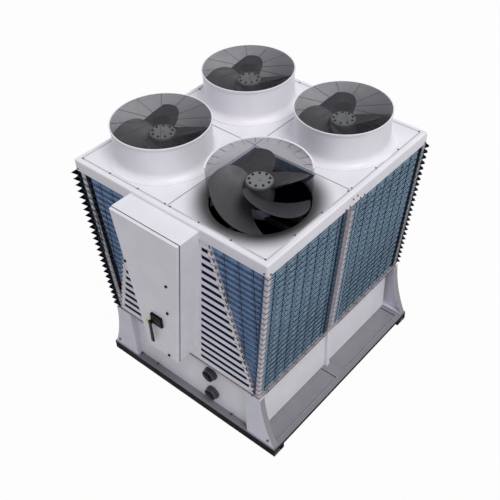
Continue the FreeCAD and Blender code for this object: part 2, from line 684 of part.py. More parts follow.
def fan_motors():
    """Motor of each fan, with its shaft, on two bars that rest in the deck frame."""
    top = HUB_FOOT - MOTOR_GAP
    seat = DECK_FOOT + DECK_SHEET
    start = DECK_BEAM / 2
    end = HALF_W - DECK_SHEET
    body = rod(MOTOR_RADIUS, MOTOR_LENGTH, V(FAN_X, FAN_Y, top - MOTOR_LENGTH), V(0, 0, 1))
    shaft = rod(SHAFT_RADIUS, MOTOR_GAP + SHAFT_IN_HUB, V(FAN_X, FAN_Y, top), V(0, 0, 1))
    bars = []
    for offset in (-BRACKET_SPREAD, BRACKET_SPREAD):
        y0 = FAN_Y + offset - BRACKET_WIDTH / 2
        bars.append(box(start, end, y0, y0 + BRACKET_WIDTH, seat, seat + BRACKET_HEIGHT))
    return Part.makeCompound(four_corners(fuse([body, shaft] + bars)))


def cabinet_outline(inset):
    """Tapered outline of the cabinet as (x, z) pairs."""
    lean = (CABINET_TOP_HALF - CABINET_FOOT_HALF) / (CABINET_TOP_Z - CABINET_FOOT_Z)
    foot = CABINET_FOOT_HALF + inset * lean - inset
    head = CABINET_TOP_HALF - inset * lean - inset
    return [(-foot, CABINET_FOOT_Z + inset), (foot, CABINET_FOOT_Z + inset),
            (head, CABINET_TOP_Z - inset), (-head, CABINET_TOP_Z - inset)]


def control_cabinet():
    """Closed cabinet on the middle panel, stepped at the back round the deck frame."""
    body = prism_y(cabinet_outline(0), COVER_SHEET - CABINET_FRONT, -FACE_Y)
    step = box(-HALF_W, HALF_W, -HALF_D, HALF_D, DECK_FOOT, DECK_TOP)
    return body.cut(step)


def cabinet_cover():
    """Lift-off cover of the cabinet."""
    cover = prism_y(cabinet_outline(COVER_INSET), -CABINET_FRONT, COVER_SHEET - CABINET_FRONT)
    front = [edge for edge in cover.Edges if abs(edge.BoundBox.YMax + CABINET_FRONT) < 0.01]
    return cover.makeFillet(COVER_EDGE_RADIUS, front)


def cover_locks():
    """Turn locks on the cover."""
    locks = [rod(LOCK_RADIUS, LOCK_HEIGHT, V(x, -CABINET_FRONT, z), V(0, -1, 0)) for x, z in LOCK_PLACES]
    return Part.makeCompound(locks)


def isolator_plate():
    """Switch body with the boss and pin of its lever."""
    front = -CABINET_FRONT
    plate = box(SWITCH_X - SWITCH_WIDTH / 2, SWITCH_X + SWITCH_WIDTH / 2, front - SWITCH_DEPTH, front,
                SWITCH_Z - SWITCH_HEIGHT / 2, SWITCH_Z + SWITCH_HEIGHT / 2)
    boss = rod(LEVER_BOSS, SWITCH_DEPTH, V(LEVER_PIVOT_X, front, LEVER_PIVOT_Z), V(0, -1, 0))
    pin = rod(LEVER_PIN, SWITCH_DEPTH + LEVER_GAP + LEVER_SHEET, V(LEVER_PIVOT_X, front, LEVER_PIVOT_Z),
              V(0, -1, 0))
    return fuse([plate, boss, pin])


def selector_disc():
    """Small round knob on the cover, beside the switch."""
    return rod(DISC_RADIUS, DISC_HEIGHT, V(DISC_X, -CABINET_FRONT, DISC_Z), V(0, -1, 0))


def isolator_lever():
    """Lever of the switch, hanging down from its pin."""
    y0 = -CABINET_FRONT - SWITCH_DEPTH - LEVER_GAP - LEVER_SHEET
    y1 = y0 + LEVER_SHEET
    eye = rod(LEVER_BOSS, LEVER_SHEET, V(LEVER_PIVOT_X, y0, LEVER_PIVOT_Z), V(0, 1, 0))
    arm = box(LEVER_PIVOT_X - LEVER_WIDTH / 2, LEVER_PIVOT_X + LEVER_WIDTH / 2, y0, y1,
              LEVER_PIVOT_Z - LEVER_LENGTH, LEVER_PIVOT_Z)
    bore = rod(LEVER_PIN + LEVER_CLEARANCE, LEVER_SHEET + 2, V(LEVER_PIVOT_X, y0 - 1, LEVER_PIVOT_Z),
               V(0, 1, 0))
    return fuse([eye, arm]).cut(bore)


def water_pipe(z):
    """Stub of a water pipe with a collar where it leaves the front panel."""
    face = -LOWER_PANEL_FRONT
    pipe = rod(PIPE_RADIUS, PIPE_OUT + PIPE_IN, V(PIPE_X, face - PIPE_OUT, z), V(0, 1, 0))
    collar = rod(PIPE_COLLAR, PIPE_COLLAR_LENGTH, V(PIPE_X, face - PIPE_COLLAR_LENGTH, z), V(0, 1, 0))
    bore = rod(PIPE_RADIUS - PIPE_WALL, PIPE_OUT + PIPE_IN + 2, V(PIPE_X, face - PIPE_OUT - 1, z),
               V(0, 1, 0))
    return fuse([pipe, collar]).cut(bore)


def all_parts():
    """Every piece of the unit, by name."""
    parts = {
        "base_frame": base_frame(),
        "corner_pads": corner_pads(),
        "base_pan": base_pan(),
        "legs": legs(),
        "lower_panel_front": lower_panel_front(),
        "lower_panel_back": lower_panel_back(),
        "lower_side_panels": lower_side_panels(),
        "side_struts": side_struts(),
        "waist_frame": waist_frame(),
        "drain_pan": drain_pan(),
        "coil_right": coil(),
        "coil_left": coil_left(),
        "corner_posts": corner_posts(),
        "centre_posts": centre_posts(),
        "diagonal_strips": diagonal_strips(),
        "louvre_panels": louvre_panels(),
        "middle_panels": middle_panels(),
        "side_guards": Part.makeCompound(both_sides(side_guard())),
        "end_guards": Part.makeCompound(four_corners(end_guard())),
        "tooth_plates": tooth_plates(),
        "deck_frame": deck_frame(),
        "fan_motors": fan_motors(),
        "control_cabinet": control_cabinet(),
        "cabinet_cover": cabinet_cover(),
        "cover_locks": cover_locks(),
        "isolator_plate": isolator_plate(),
        "selector_disc": selector_disc(),
        "isolator_lever": isolator_lever(),
        "water_outlet": water_pipe(PIPE_ZS[0]),
        "water_inlet": water_pipe(PIPE_ZS[1]),
    }
    for bay, (side, end) in BAYS.items():
        parts["deck_panel_" + bay] = deck_panel(side, end)
        parts["fan_" + bay] = rotor(side, end)
        if bay == CUT_BAY:
            parts["fan_stack_" + bay] = cut_stack()
            parts["stack_rim_" + bay] = cut_rim()
        else:
            parts["fan_stack_" + bay] = stack(side, end)
            parts["fan_grille_" + bay] = grille(side, end)
    return parts


os.makedirs("parts", exist_ok=True)
for name, shape in all_parts().items():
    if not shape.isValid():
        raise ValueError(name + " is not a valid shape")
    shape.exportStep("parts/" + name + ".step")
    print(name, len(shape.Solids), "solids", round(shape.Volume / 1e6, 2), "litres")
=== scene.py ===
"""Looks of a modular air-cooled water chiller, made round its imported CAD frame.

The CAD nodes keep their shapes and get finishes. Smooth fan rotors, wire grilles and wire guards stand for
the plain ones, and ribs, seals, strips, seams and screws that the CAD leaves out are added.
Everything is in metres in the CAD's own frame: X along the front, Y from front to back, Z up.
"""

import logging
import math
from collections.abc import Callable
from dataclasses import dataclass
from enum import Enum

import bpy
import numpy as np
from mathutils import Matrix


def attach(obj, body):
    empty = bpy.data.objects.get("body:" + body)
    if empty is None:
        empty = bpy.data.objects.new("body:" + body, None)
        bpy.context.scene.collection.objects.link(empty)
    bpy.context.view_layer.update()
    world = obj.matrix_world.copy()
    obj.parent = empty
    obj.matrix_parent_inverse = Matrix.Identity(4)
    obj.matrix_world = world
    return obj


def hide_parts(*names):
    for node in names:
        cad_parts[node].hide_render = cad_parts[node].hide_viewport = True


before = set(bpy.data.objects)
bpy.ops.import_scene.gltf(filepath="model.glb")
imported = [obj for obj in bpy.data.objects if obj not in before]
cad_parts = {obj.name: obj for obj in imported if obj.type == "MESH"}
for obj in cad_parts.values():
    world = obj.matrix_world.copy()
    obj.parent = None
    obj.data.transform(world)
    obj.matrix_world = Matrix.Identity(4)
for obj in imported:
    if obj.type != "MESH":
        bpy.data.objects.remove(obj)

LOG = logging.getLogger("chiller")
HOUSING = "housing"
MM = 0.001
WHITE = (1.0, 1.0, 1.0, 1.0)
Socket = bpy.types.NodeSocket
Numbers = np.ndarray | float
Pair = tuple[float, float]
Triple = tuple[float, float, float]
Colour = tuple[float, float, float, float]


def between(first: Numbers, last: Numbers, share: Numbers) -> Numbers:
    """The value at a share of the way from the first to the last."""
    return first + (last - first) * share


@dataclass(frozen=True)
class Unit:
    """Main sizes of the chiller, the same as the CAD's."""

    half_width: float = 0.950
    half_depth: float = 0.980
    face_y: float = 0.970
    deck_top: float = 2.145
    deck_foot: float = 2.045
    waist_z: float = 0.655
    sill_foot: float = 0.620
    waist_half: float = 0.800
    diagonal_foot: float = 0.745
    diagonal_top: float = 0.400
    coil_setback: float = 0.011
    post: float = 0.045
    strip: float = 0.030
    fan_x: float = 0.475
    fan_y: float = 0.490
    guard_periods: int = 24

    def rise(self, z: Numbers) -> Numbers:
        """Share of the way from the waist to the foot of the deck."""
        return (z - self.waist_z) / (self.deck_foot - self.waist_z)

    def corner_x(self, z: Numbers) -> Numbers:
        """Half-width of the leaning coil corners at a height."""
        return between(self.waist_half, self.half_width, self.rise(z))

    def diagonal_x(self, z: Numbers) -> Numbers:
        """Half-width of the slanted line between louvres and coil on an end face."""
        return between(self.diagonal_foot, self.diagonal_top, self.rise(z))

    def levels(self) -> np.ndarray:
        """Heights of the guard's valleys (even) and tips (odd), from the waist up."""
        return np.linspace(self.waist_z, self.deck_foot, 2 * self.guard_periods + 1)


UNIT = Unit()


class Bay(Enum):
    """The four fan bays, each with the signs of its place in X and Y."""

    FRONT_LEFT = (-1, -1)
    FRONT_RIGHT = (1, -1)
    BACK_LEFT = (-1, 1)
    BACK_RIGHT = (1, 1)

    @property
    def label(self) -> str:
        """The bay's name as the CAD nodes write it."""
        return self.name.lower()

    @property
    def axis(self) -> np.ndarray:
        """Place of the fan's axis in X and Y."""
        return np.array([self.value[0] * UNIT.fan_x, self.value[1] * UNIT.fan_y])


CUT_BAY = Bay.FRONT_RIGHT
WHOLE_BAYS = tuple(bay for bay in Bay if bay is not CUT_BAY)


@dataclass(frozen=True)
class Shape:
    """Points of a mesh and its faces, one array for each number of corners."""

    points: np.ndarray
    faces: tuple[np.ndarray, ...]

    def flipped(self) -> "Shape":
        """The same surface facing the other way."""
        return Shape(self.points, tuple(part[:, ::-1] for part in self.faces))

    def moved(self, offset: Triple) -> "Shape":
        """The shape carried by an offset."""
        return Shape(self.points + np.array(offset), self.faces)

    def scaled(self, signs: Triple) -> "Shape":
        """The shape times a factor for each axis, with its faces kept outwards after a mirroring."""
        factors = np.array(signs, float)
        made = Shape(self.points * factors, self.faces)
        return made.flipped() if factors.prod() < 0 else made

    def turned(self, degrees: float) -> "Shape":
        """The shape turned about the Z axis."""
        angle = math.radians(degrees)
        turn = np.array([[math.cos(angle), -math.sin(angle), 0.0],
                         [math.sin(angle), math.cos(angle), 0.0],
                         [0.0, 0.0, 1.0]])
        return Shape(self.points @ turn.T, self.faces)

    def facing(self, direction: Triple) -> "Shape":
        """The shape turned so that its Z axis points along a direction."""
        up = np.array(direction, float) / np.linalg.norm(direction)
        helper = np.array([0.0, 0.0, 1.0]) if abs(up[2]) < 0.9 else np.array([0.0, 1.0, 0.0])
        right = np.cross(helper, up)
        right /= np.linalg.norm(right)
        turn = np.stack([right, np.cross(up, right), up])
        return Shape(self.points @ turn, self.faces)

    def stamped(self, places: np.ndarray) -> "Shape":
        """Copies of the shape at many places.

        Args:
            places: Offsets, one row each.

        Returns:
            All copies as one shape.
        """
        places = np.asarray(places, float).reshape(-1, 3)
        points = (self.points[None] + places[:, None]).reshape(-1, 3)
        step = (np.arange(len(places)) * len(self.points))[:, None, None]
        faces = tuple((part[None] + step).reshape(-1, part.shape[1]) for part in self.faces)
        return Shape(points, faces)

    def leaned(self) -> "Shape":
        """The shape set on the right-hand coil: x becomes corner_x(z) + x."""
        points = self.points.copy()
        points[:, 0] += UNIT.corner_x(points[:, 2])
        return Shape(points, self.faces)


def joined(shapes: list[Shape]) -> Shape:
    """All shapes as one."""
    starts = np.cumsum([0] + [len(one.points) for one in shapes[:-1]])
    faces = [part + start for one, start in zip(shapes, starts) for part in one.faces]
    return Shape(np.concatenate([one.points for one in shapes]), tuple(faces))


def both_sides(shape: Shape) -> Shape:
    """The shape and its left-for-right copy."""
    return joined([shape, shape.scaled((-1, 1, 1))])


def both_ends(shape: Shape) -> Shape:
    """The shape and its front-for-back copy."""
    return joined([shape, shape.scaled((1, -1, 1))])


def half_turned(shape: Shape) -> Shape:
    """The shape and its copy turned half round about the unit's middle."""
    return joined([shape, shape.scaled((-1, -1, 1))])


def quads(rows: int, columns: int, wrap_rows: bool = False, wrap_columns: bool = False) -> np.ndarray:
    """Four-cornered faces between the points of a grid.

    Args:
        rows: Number of rows of points.
        columns: Number of points in a row.
        wrap_rows: Whether the last row joins the first.
        wrap_columns: Whether the last point of a row joins its first.

    Returns:
        One row of four point numbers for each face. A face looks along (column way) x (row way).
    """
    i = np.arange(rows if wrap_rows else rows - 1)[:, None]
    j = np.arange(columns if wrap_columns else columns - 1)[None]
    below, beside = (i + 1) % rows, (j + 1) % columns
    corners = [i * columns + j, i * columns + beside, below * columns + beside, below * columns + j]
    return np.stack(corners, axis=-1).reshape(-1, 4)


def boxes(lows: np.ndarray, highs: np.ndarray) -> Shape:
    """Upright boxes between pairs of corners: point = low + (0 or 1 for each axis) * (high - low)."""
    lows = np.asarray(lows, float).reshape(-1, 3)
    highs = np.asarray(highs, float).reshape(-1, 3)
    signs = np.array([[x, y, z] for x in (0, 1) for y in (0, 1) for z in (0, 1)], float)
    points = (lows[:, None] + signs[None] * (highs - lows)[:, None]).reshape(-1, 3)
    sides = np.array([[0, 1, 3, 2], [4, 6, 7, 5], [0, 4, 5, 1], [2, 3, 7, 6], [0, 2, 6, 4], [1, 5, 7, 3]])
    step = (np.arange(len(lows)) * len(signs))[:, None, None]
    return Shape(points, ((sides[None] + step).reshape(-1, 4),))


def spread(*parts: Numbers | tuple) -> np.ndarray:
    """Points from their coordinates, which are stretched over one another where they differ in number."""
    return np.stack(np.broadcast_arrays(*parts), axis=-1)


def capped(rings: np.ndarray) -> Shape:
    """The closed tube through rings of points, given as rings x sides x 3."""
    count, sides = rings.shape[:2]
    edge = np.arange(sides)[None]
    faces = (quads(count, sides, wrap_columns=True), edge[:, ::-1], edge + (count - 1) * sides)
    return Shape(rings.reshape(-1, 3), faces)


def revolved(profile: list[Pair], sides: int, ring: bool = False) -> Shape:
    """A profile of (radius, height) turned about Z: (r cos t, r sin t, z).

    Args:
        profile: Points from the foot up the outside, and for a ring on round down the inside.
        sides: Number of steps round.
        ring: Whether the profile closes on itself. Otherwise flat faces close its two ends.

    Returns:
        The closed shape.
    """
    steps = np.array(profile, float)
    radius, height = steps[:, :1], steps[:, 1:]
    turn = np.arange(sides) * 2 * math.pi / sides
    points = spread(radius * np.cos(turn), radius * np.sin(turn), height)
    if not ring:
        return capped(points)
    return Shape(points.reshape(-1, 3), (quads(len(steps), sides, wrap_rows=True, wrap_columns=True),))


def wires(paths: np.ndarray, across: Triple, radius: float, sides: int = 6) -> Shape:
    """Round wires, each bent in a plane, with mitred corners.

    A ring at each path point is radius * (cos t * across + sin t * inward / cos(half the bend)), where
    inward is square to the wire in its plane.

    Args:
        paths: Points of the wires, as wires x points x 3.
        across: The direction square to the plane of every wire.
        radius: Radius of the wire.
        sides: Number of sides of the section.

    Returns:
        The closed wires as one shape.
    """
    paths = np.asarray(paths, float)
    side = np.array(across, float)
    legs = np.diff(paths, axis=1)
    legs /= np.linalg.norm(legs, axis=2, keepdims=True)
    before = np.concatenate([legs[:, :1], legs], axis=1)
    after = np.concatenate([legs, legs[:, -1:]], axis=1)
    way = before + after
    way /= np.linalg.norm(way, axis=2, keepdims=True)
    mitre = 1 / np.sqrt(0.5 + 0.5 * (before * after).sum(axis=2, keepdims=True))
    inward = np.cross(way, side) * mitre
    turn = (np.arange(sides) + 0.5) * 2 * math.pi / sides
    offsets = np.cos(turn)[:, None] * side + np.sin(turn)[:, None] * inward[:, :, None]
    return joined([capped(one) for one in paths[:, :, None] + radius * offsets])


def thick_sheet(middle: np.ndarray, thickness: np.ndarray) -> Shape:
    """A closed sheet round a grid of points: point +- normal * thickness / 2, with walls round the rim.

    Args:
        middle: Points of the middle surface, as rows x columns x 3.
        thickness: Thickness at each point.

    Returns:
        The closed sheet.
    """
    normal = np.cross(np.gradient(middle, axis=1), np.gradient(middle, axis=0))
    normal /= np.linalg.norm(normal, axis=2, keepdims=True)
    half = normal * thickness[..., None] / 2
    rows, columns = thickness.shape
    count = rows * columns
    top = quads(rows, columns)
    index = np.arange(count).reshape(rows, columns)
    rim = np.concatenate([index[0, :-1], index[:-1, -1], index[-1, :0:-1], index[:0:-1, 0]])
    following = np.roll(rim, -1)
    wall = np.stack([rim, rim + count, following + count, following], axis=1)
    points = np.concatenate([(middle + half).reshape(-1, 3), (middle - half).reshape(-1, 3)])
    return Shape(points, (top, top[:, ::-1] + count, wall))


def linear(colour: str) -> Colour:
    """An sRGB hex colour as linear RGBA: c / 12.92 up to 0.04045, above it ((c + 0.055) / 1.055) ** 2.4."""
    channels = np.array([int(colour[i:i + 2], 16) for i in (1, 3, 5)]) / 255
    values = np.where(channels <= 0.04045, channels / 12.92, ((channels + 0.055) / 1.055) ** 2.4)
    return (*values.tolist(), 1.0)


def add_object(name: str, data: bpy.types.ID) -> bpy.types.Object:
    """A new object in the scene."""
    made = bpy.data.objects.new(name, data)
    bpy.context.scene.collection.objects.link(made)
    return made


class Graph:
    """The nodes of one material or world."""

    def __init__(self, owner: bpy.types.Material | bpy.types.World) -> None:
        """Starts its owner's nodes afresh."""
        owner.use_nodes = True
        self.tree = owner.node_tree
        self.tree.nodes.clear()

    def node(self, kind: str, inputs: dict | None = None, **settings: str) -> bpy.types.Node:
        """Adds one node.

        Args:
            kind: Blender's type name of the node, less its leading "ShaderNode".
            inputs: Values by input name or number. A value that is another node's output is linked.
            **settings: The node's own settings, set before its inputs.

        Returns:
            The new node.
        """
        made = self.tree.nodes.new("ShaderNode" + kind)
        for key, value in settings.items():
            setattr(made, key, value)
        for key, value in (inputs or {}).items():
            if isinstance(value, Socket):
                self.tree.links.new(value, made.inputs[key])
            else:
                made.inputs[key].default_value = value
        return made

    def place(self, axis: str = "") -> Socket:
        """The place in the object's frame, or one coordinate of it."""
        place = self.node("TexCoord").outputs["Object"]
        return self.node("SeparateXYZ", {0: place}).outputs[axis] if axis else place

    def facing(self, axis: str) -> Socket:
        """How far a face looks along an axis of the object's frame."""
        normal = self.node("TexCoord").outputs["Normal"]
        return self.node("SeparateXYZ", {0: normal}).outputs[axis]

    def outward(self) -> Socket:
        """Above 0 where a face looks away from the unit's middle in X, below 0 where it looks inwards."""
        return self.maths("MULTIPLY", self.facing("X"), self.place("X"))

    def maths(self, operation: str, *terms: Socket | float) -> Socket:
        """One operation on one to three numbers."""
        return self.node("Math", dict(enumerate(terms)), operation=operation).outputs[0]

    def vectors(self, operation: str, *terms: Socket | tuple) -> Socket:
        """One operation on one or two vectors."""
        return self.node("VectorMath", dict(enumerate(terms)), operation=operation).outputs[0]

    def length(self, vector: Socket) -> Socket:
        """Length of a vector."""
        return self.node("VectorMath", {0: vector}, operation="LENGTH").outputs["Value"]

    def noise(self, size_mm: float, detail: float) -> Socket:
        """Noise whose features have about this size."""
        inputs = {"Vector": self.place(), "Scale": 1 / (size_mm * MM), "Detail": detail}
        return self.node("TexNoise", inputs).outputs[0]

    def bands(self, vector: Socket, band_mm: float, inputs: dict) -> Socket:
        """Level bands this far apart, as Blender's bands are 2 pi / 20 apart at scale 1."""
        scale = 2 * math.pi / (20 * band_mm * MM)
        wave = self.node("TexWave", {"Vector": vector, "Scale": scale} | inputs, bands_direction="Z")
        return wave.outputs["Fac"]

    def ramp(self, value: Socket, low: float, high: float, first: float = 0.0, last: float = 1.0,
             **settings: str) -> Socket:
        """Goes from first to last while a value goes from low to high, and no further."""
        inputs = {"Value": value, "From Min": low, "From Max": high, "To Min": first, "To Max": last}
        return self.node("MapRange", inputs, **settings).outputs[0]

    def blend(self, share: Socket, first: Socket | str, second: Socket | str) -> Socket:
        """Two colours mixed by the share of the second. A colour is a socket or an sRGB hex text."""
        ends = [linear(one) if isinstance(one, str) else one for one in (first, second)]
        return self.node("Mix", {0: share, 6: ends[0], 7: ends[1]}, data_type="RGBA").outputs[2]


@dataclass(frozen=True)
class Finish:
    """A real material and how its surface was made. Fine mottling of two tones and a slight relief keep
    it from being one flat colour, and a mask can give it another colour in some places."""

    name: str
    colour: str
    second: str
    cloud_mm: float = 220.0
    cloud_share: float = 0.6
    roughness: float = 0.45
    roughness_spread: float = 0.06
    patch_mm: float = 90.0
    ior: float = 1.5
    relief_mm: float = 4.0
    relief_strength: float = 0.05
    gloss: float = 0.5
    alpha: float = 1.0
    other: str = ""
    mask: Callable[[Graph], Socket] | None = None

    def tint(self, graph: Graph) -> Socket:
        """Colour at a place: two tones mixed in clouds, and the other colour where the mask says so."""
        noise = graph.noise(self.cloud_mm, detail=4.0)
        clouds = graph.ramp(noise, low=0.35, high=0.7, last=self.cloud_share)
        own = graph.blend(clouds, self.colour, self.second)
        return graph.blend(self.mask(graph), own, self.other) if self.mask else own

    def make(self) -> bpy.types.Material:
        """Builds the Blender material."""
        material = bpy.data.materials.new(self.name)
        graph = Graph(material)
        relief = graph.noise(self.relief_mm, detail=2.0)
        bump = graph.node("Bump", {"Strength": self.relief_strength, "Distance": MM, "Height": relief})
        dullness = graph.ramp(graph.noise(self.patch_mm, detail=3.0), low=0.3, high=0.7,
                              first=self.roughness - self.roughness_spread,
                              last=self.roughness + self.roughness_spread)
        values = {"Base Color": self.tint(graph), "Roughness": dullness, "IOR": self.ior,
                  "Alpha": self.alpha, "Specular IOR Level": self.gloss, "Normal": bump.outputs["Normal"]}
        shader = graph.node("BsdfPrincipled", values)
        graph.node("OutputMaterial", {"Surface": shader.outputs["BSDF"]})
        return material


@dataclass(frozen=True)
class PowderEnamel(Finish):
    """Powder-coated steel sheet: baked powder leaves a satin skin with faint orange peel, and outdoor dust
    dulls it in wide soft patches. The peel is drawn at 6 mm, as the real 1.5 mm can't show."""

    cloud_share: float = 0.5
    roughness: float = 0.42
    relief_mm: float = 6.0
    relief_strength: float = 0.12


@dataclass(frozen=True)
class CornerEnamel(PowderEnamel):
    """Corner posts: white enamel at two corners, bare mottled grey sheet at the other two, where X and Y
    have the same sign."""

    bare: str = "#B6B6BB"
    bare_second: str = "#8A8A90"
    mottle_mm: float = 14.0

    def tint(self, graph: Graph) -> Socket:
        """White or mottled grey, by the sign of x * y."""
        product = graph.maths("MULTIPLY", graph.place("X"), graph.place("Y"))
        mottle = graph.blend(graph.noise(self.mottle_mm, detail=3.0), self.bare, self.bare_second)
        return graph.blend(graph.maths("GREATER_THAN", product, 0.0), super().tint(graph), mottle)


@dataclass(frozen=True)
class FinStock(Finish):
    """Epoxy-coated aluminium fins on level tubes: a blue coat and light streaks along the tube rows. Level
    bands, broader and bluer on the coil's ends, are partly the tube rows and partly painted shadow of the
    guard wires.
    Painted shade darkens it right under the deck and over the whole inner face. The streaks are drawn at 35
    mm, as the real 1.6 mm fins can't show."""

    end_colour: str = "#86A8D6"
    end_second: str = "#4A6A98"
    # The level bands are partly the tube rows and partly painted shadow of the guard wires, set by their
    # pitch and phase.
    row_mm: float = 28.96
    row_phase: float = 1.30
    end_row_mm: float = 57.92
    end_row_phase: float = 2.38
    streak: Triple = (0.035, 0.035, 0.012)
    streak_weight: float = 1.1
    band_weight: float = 0.55
    contrast: Pair = (0.52, 1.12)
    end_from: float = 0.6
    inside_from: float = -0.3
    # Painted shade: the near-black of the inner face, and how much of it lies right under the deck.
    painted_shade: str = "#06080B"
    shade_under_deck: float = 0.6
    under_deck: Pair = (UNIT.deck_foot - 0.030, UNIT.deck_foot - 0.006)

    def banded(self, graph: Graph, band_mm: float, phase: float, light: str, dark: str) -> Socket:
        """Two tones mixed by level bands, partly painted shadow of the guard wires, and short streaks along
        them.

        Args:
            graph: The material's nodes.
            band_mm: Distance of the bands.
            phase: Shift of the bands, in radians.
            light: Tone of the bands' crests.
            dark: Tone between them.

        Returns:
            The colour.
        """
        foot = graph.node("Mapping", {"Vector": graph.place(), "Location": (0.0, 0.0, -UNIT.waist_z)})
        bands = graph.bands(foot.outputs[0], band_mm, {"Distortion": 0.0, "Phase Offset": phase})
        stretched = graph.vectors("MULTIPLY", graph.place(), tuple(1 / size for size in self.streak))
        streaks = graph.node("TexNoise", {"Vector": stretched, "Scale": 1.0, "Detail": 2.0}).outputs[0]
        lifted = graph.maths("MULTIPLY", bands, self.band_weight)
        total = graph.maths("MULTIPLY_ADD", streaks, self.streak_weight, lifted)
        return graph.blend(graph.ramp(total, *self.contrast), dark, light)

    def tint(self, graph: Graph) -> Socket:
        """The side's or the end's tones by where a face looks, with painted shade on the inner face and
        right under the deck.
        """
        is_end = graph.maths("GREATER_THAN", graph.maths("ABSOLUTE", graph.facing("Y")), self.end_from)
        side = self.banded(graph, self.row_mm, self.row_phase, self.colour, self.second)
        end = self.banded(graph, self.end_row_mm, self.end_row_phase, self.end_colour, self.end_second)
        inside = graph.maths("LESS_THAN", graph.outward(), self.inside_from)
        shade = graph.ramp(graph.place("Z"), *self.under_deck, last=self.shade_under_deck)
        dark = graph.maths("MAXIMUM", inside, shade)
        return graph.blend(dark, graph.blend(is_end, side, end), self.painted_shade)


@dataclass(frozen=True)
class RibbedEnd(Finish):
    """End plate of a coil: formed galvanised sheet with dull, slightly reddish grey bands across it."""

    rib_mm: float = 28.96

    def tint(self, graph: Graph) -> Socket:
        """Two tones in level bands, broken up by fine noise."""
        breakup = {"Distortion": 2.0, "Detail": 2.0, "Detail Scale": 3.0}
        return graph.blend(graph.bands(graph.place(), self.rib_mm, breakup), self.second, self.colour)


def fan_shade(graph: Graph, rim: float = 0.375, end: float = 0.562, most: float = 0.97) -> Socket:
    """Mask: painted shade round the open fan, strongest at the rim of its opening and fading outwards."""
    level = {"Location": (-UNIT.fan_x, UNIT.fan_y, 0.0), "Scale": (1.0, 1.0, 0.0)}
    offset = graph.node("Mapping", {"Vector": graph.place()} | level).outputs[0]
    return graph.ramp(graph.length(offset), rim, end, most, 0.0, interpolation_type="SMOOTHSTEP")


def pan_ledge_shade(graph: Graph, edge: float = 0.915, soft: float = 0.01) -> Socket:
    """Mask: painted shade on the narrow ledges at the front and back of the pre-coated sheet."""
    return graph.ramp(graph.maths("ABSOLUTE", graph.place("Y")), edge - soft, edge + soft)


def leg_side_shade(graph: Graph) -> Socket:
    """Mask: painted shade on the legs' folded sides, which look outwards in X."""
    return graph.ramp(graph.outward(), low=0.3, high=0.5)


def shaded_slot_walls(graph: Graph) -> Socket:
    """Mask: painted shade in navy on the floors and roofs of the louvres' slots."""
    return graph.ramp(graph.maths("ABSOLUTE", graph.facing("Z")), low=0.4, high=0.6)


def lit_upper_faces(graph: Graph) -> Socket:
    """Mask: painted light, which makes every face that looks up paler."""
    return graph.ramp(graph.facing("Z"), low=0.5, high=0.9, last=0.8)


def shaded_motor_bars(graph: Graph, reach: float = 0.110, soft: float = 0.01) -> Socket:
    """Mask: painted shade on the bars that carry the motors, beyond a motor's radius from each fan's axis.
    """
    folded = graph.vectors("ABSOLUTE", graph.place())
    offset = graph.vectors("SUBTRACT", folded, (UNIT.fan_x, UNIT.fan_y, 0.0))
    radius = graph.length(graph.vectors("MULTIPLY", offset, (1.0, 1.0, 0.0)))
    return graph.ramp(radius, reach, reach + soft)


ENAMEL = PowderEnamel("white_powder_enamel", "#E9E7ED", "#DBD9E0")
# The grey other colour is painted shade on the legs' folded sides.
LEG_ENAMEL = PowderEnamel("leg_powder_enamel", "#D9D8E5", "#CCCBD8", other="#87868B", mask=leg_side_shade)
# The navy other colour is painted shade in the louvres' slots.
LOUVRE_ENAMEL = PowderEnamel("louvre_powder_enamel", "#E9E7ED", "#DBD9E0", other="#3E4F7C", mask=shaded_slot_walls)
CORNER = CornerEnamel("corner_powder_enamel", "#DDD6DB", "#C9C1C7", cloud_mm=60.0, cloud_share=0.6,
                      roughness=0.45)
# The near-black other colour is painted shade round the open fan's opening.
CUT_DECK = PowderEnamel("cut_bay_powder_enamel", "#E9E7ED", "#DBD9E0", cloud_share=0.6, other="#0B0B0D",
                        mask=fan_shade)
WAIST = Finish("waist_primer", "#B3AAAE", "#8F868A", cloud_mm=25.0, cloud_share=0.9, roughness=0.5)
# The pale other colour is painted light on the chassis faces that look up.
SKID = Finish("charcoal_chassis_paint", "#121215", "#1D1D21", cloud_mm=70.0, roughness=0.6, ior=1.3,
              relief_mm=3.0, relief_strength=0.15, gloss=0.08, other="#66656C", mask=lit_upper_faces)
# The darker other colour is painted shade on the front and back ledges.
PAN = Finish("grey_coated_sheet", "#858489", "#77767B", cloud_mm=160.0, roughness=0.5, ior=1.4,
             other="#75747C", mask=pan_ledge_shade)
TRAY_RIM = Finish("worn_tray_rim", "#9C9BA1", "#88878D", cloud_mm=30.0, roughness=0.5)
TRAY_JOINT = Finish("dirty_tray_joint", "#3F3E42", "#57565B", cloud_mm=30.0, roughness=0.7, ior=1.3)
RUBBER = Finish("moulded_rubber", "#0C0C0D", "#161618", cloud_mm=20.0, roughness=0.8, ior=1.3,
                relief_mm=2.0, relief_strength=0.3, gloss=0.1)
FINS = FinStock("epoxy_coated_fins", "#9CBED6", "#335672", roughness=0.5, ior=1.4, relief_mm=7.0,
                relief_strength=0.3)
LINING = Finish("blue_coated_lining", "#557F9C", "#2F5273", cloud_mm=60.0, cloud_share=0.9, roughness=0.5,
                ior=1.3)
COIL_END = RibbedEnd("galvanised_end_plate", "#9A9397", "#6C656A", roughness=0.55)
FLANGE = Finish("bright_zinc_flange", "#C9C5C9", "#9C989E", cloud_mm=10.0, cloud_share=0.9, roughness=0.5)
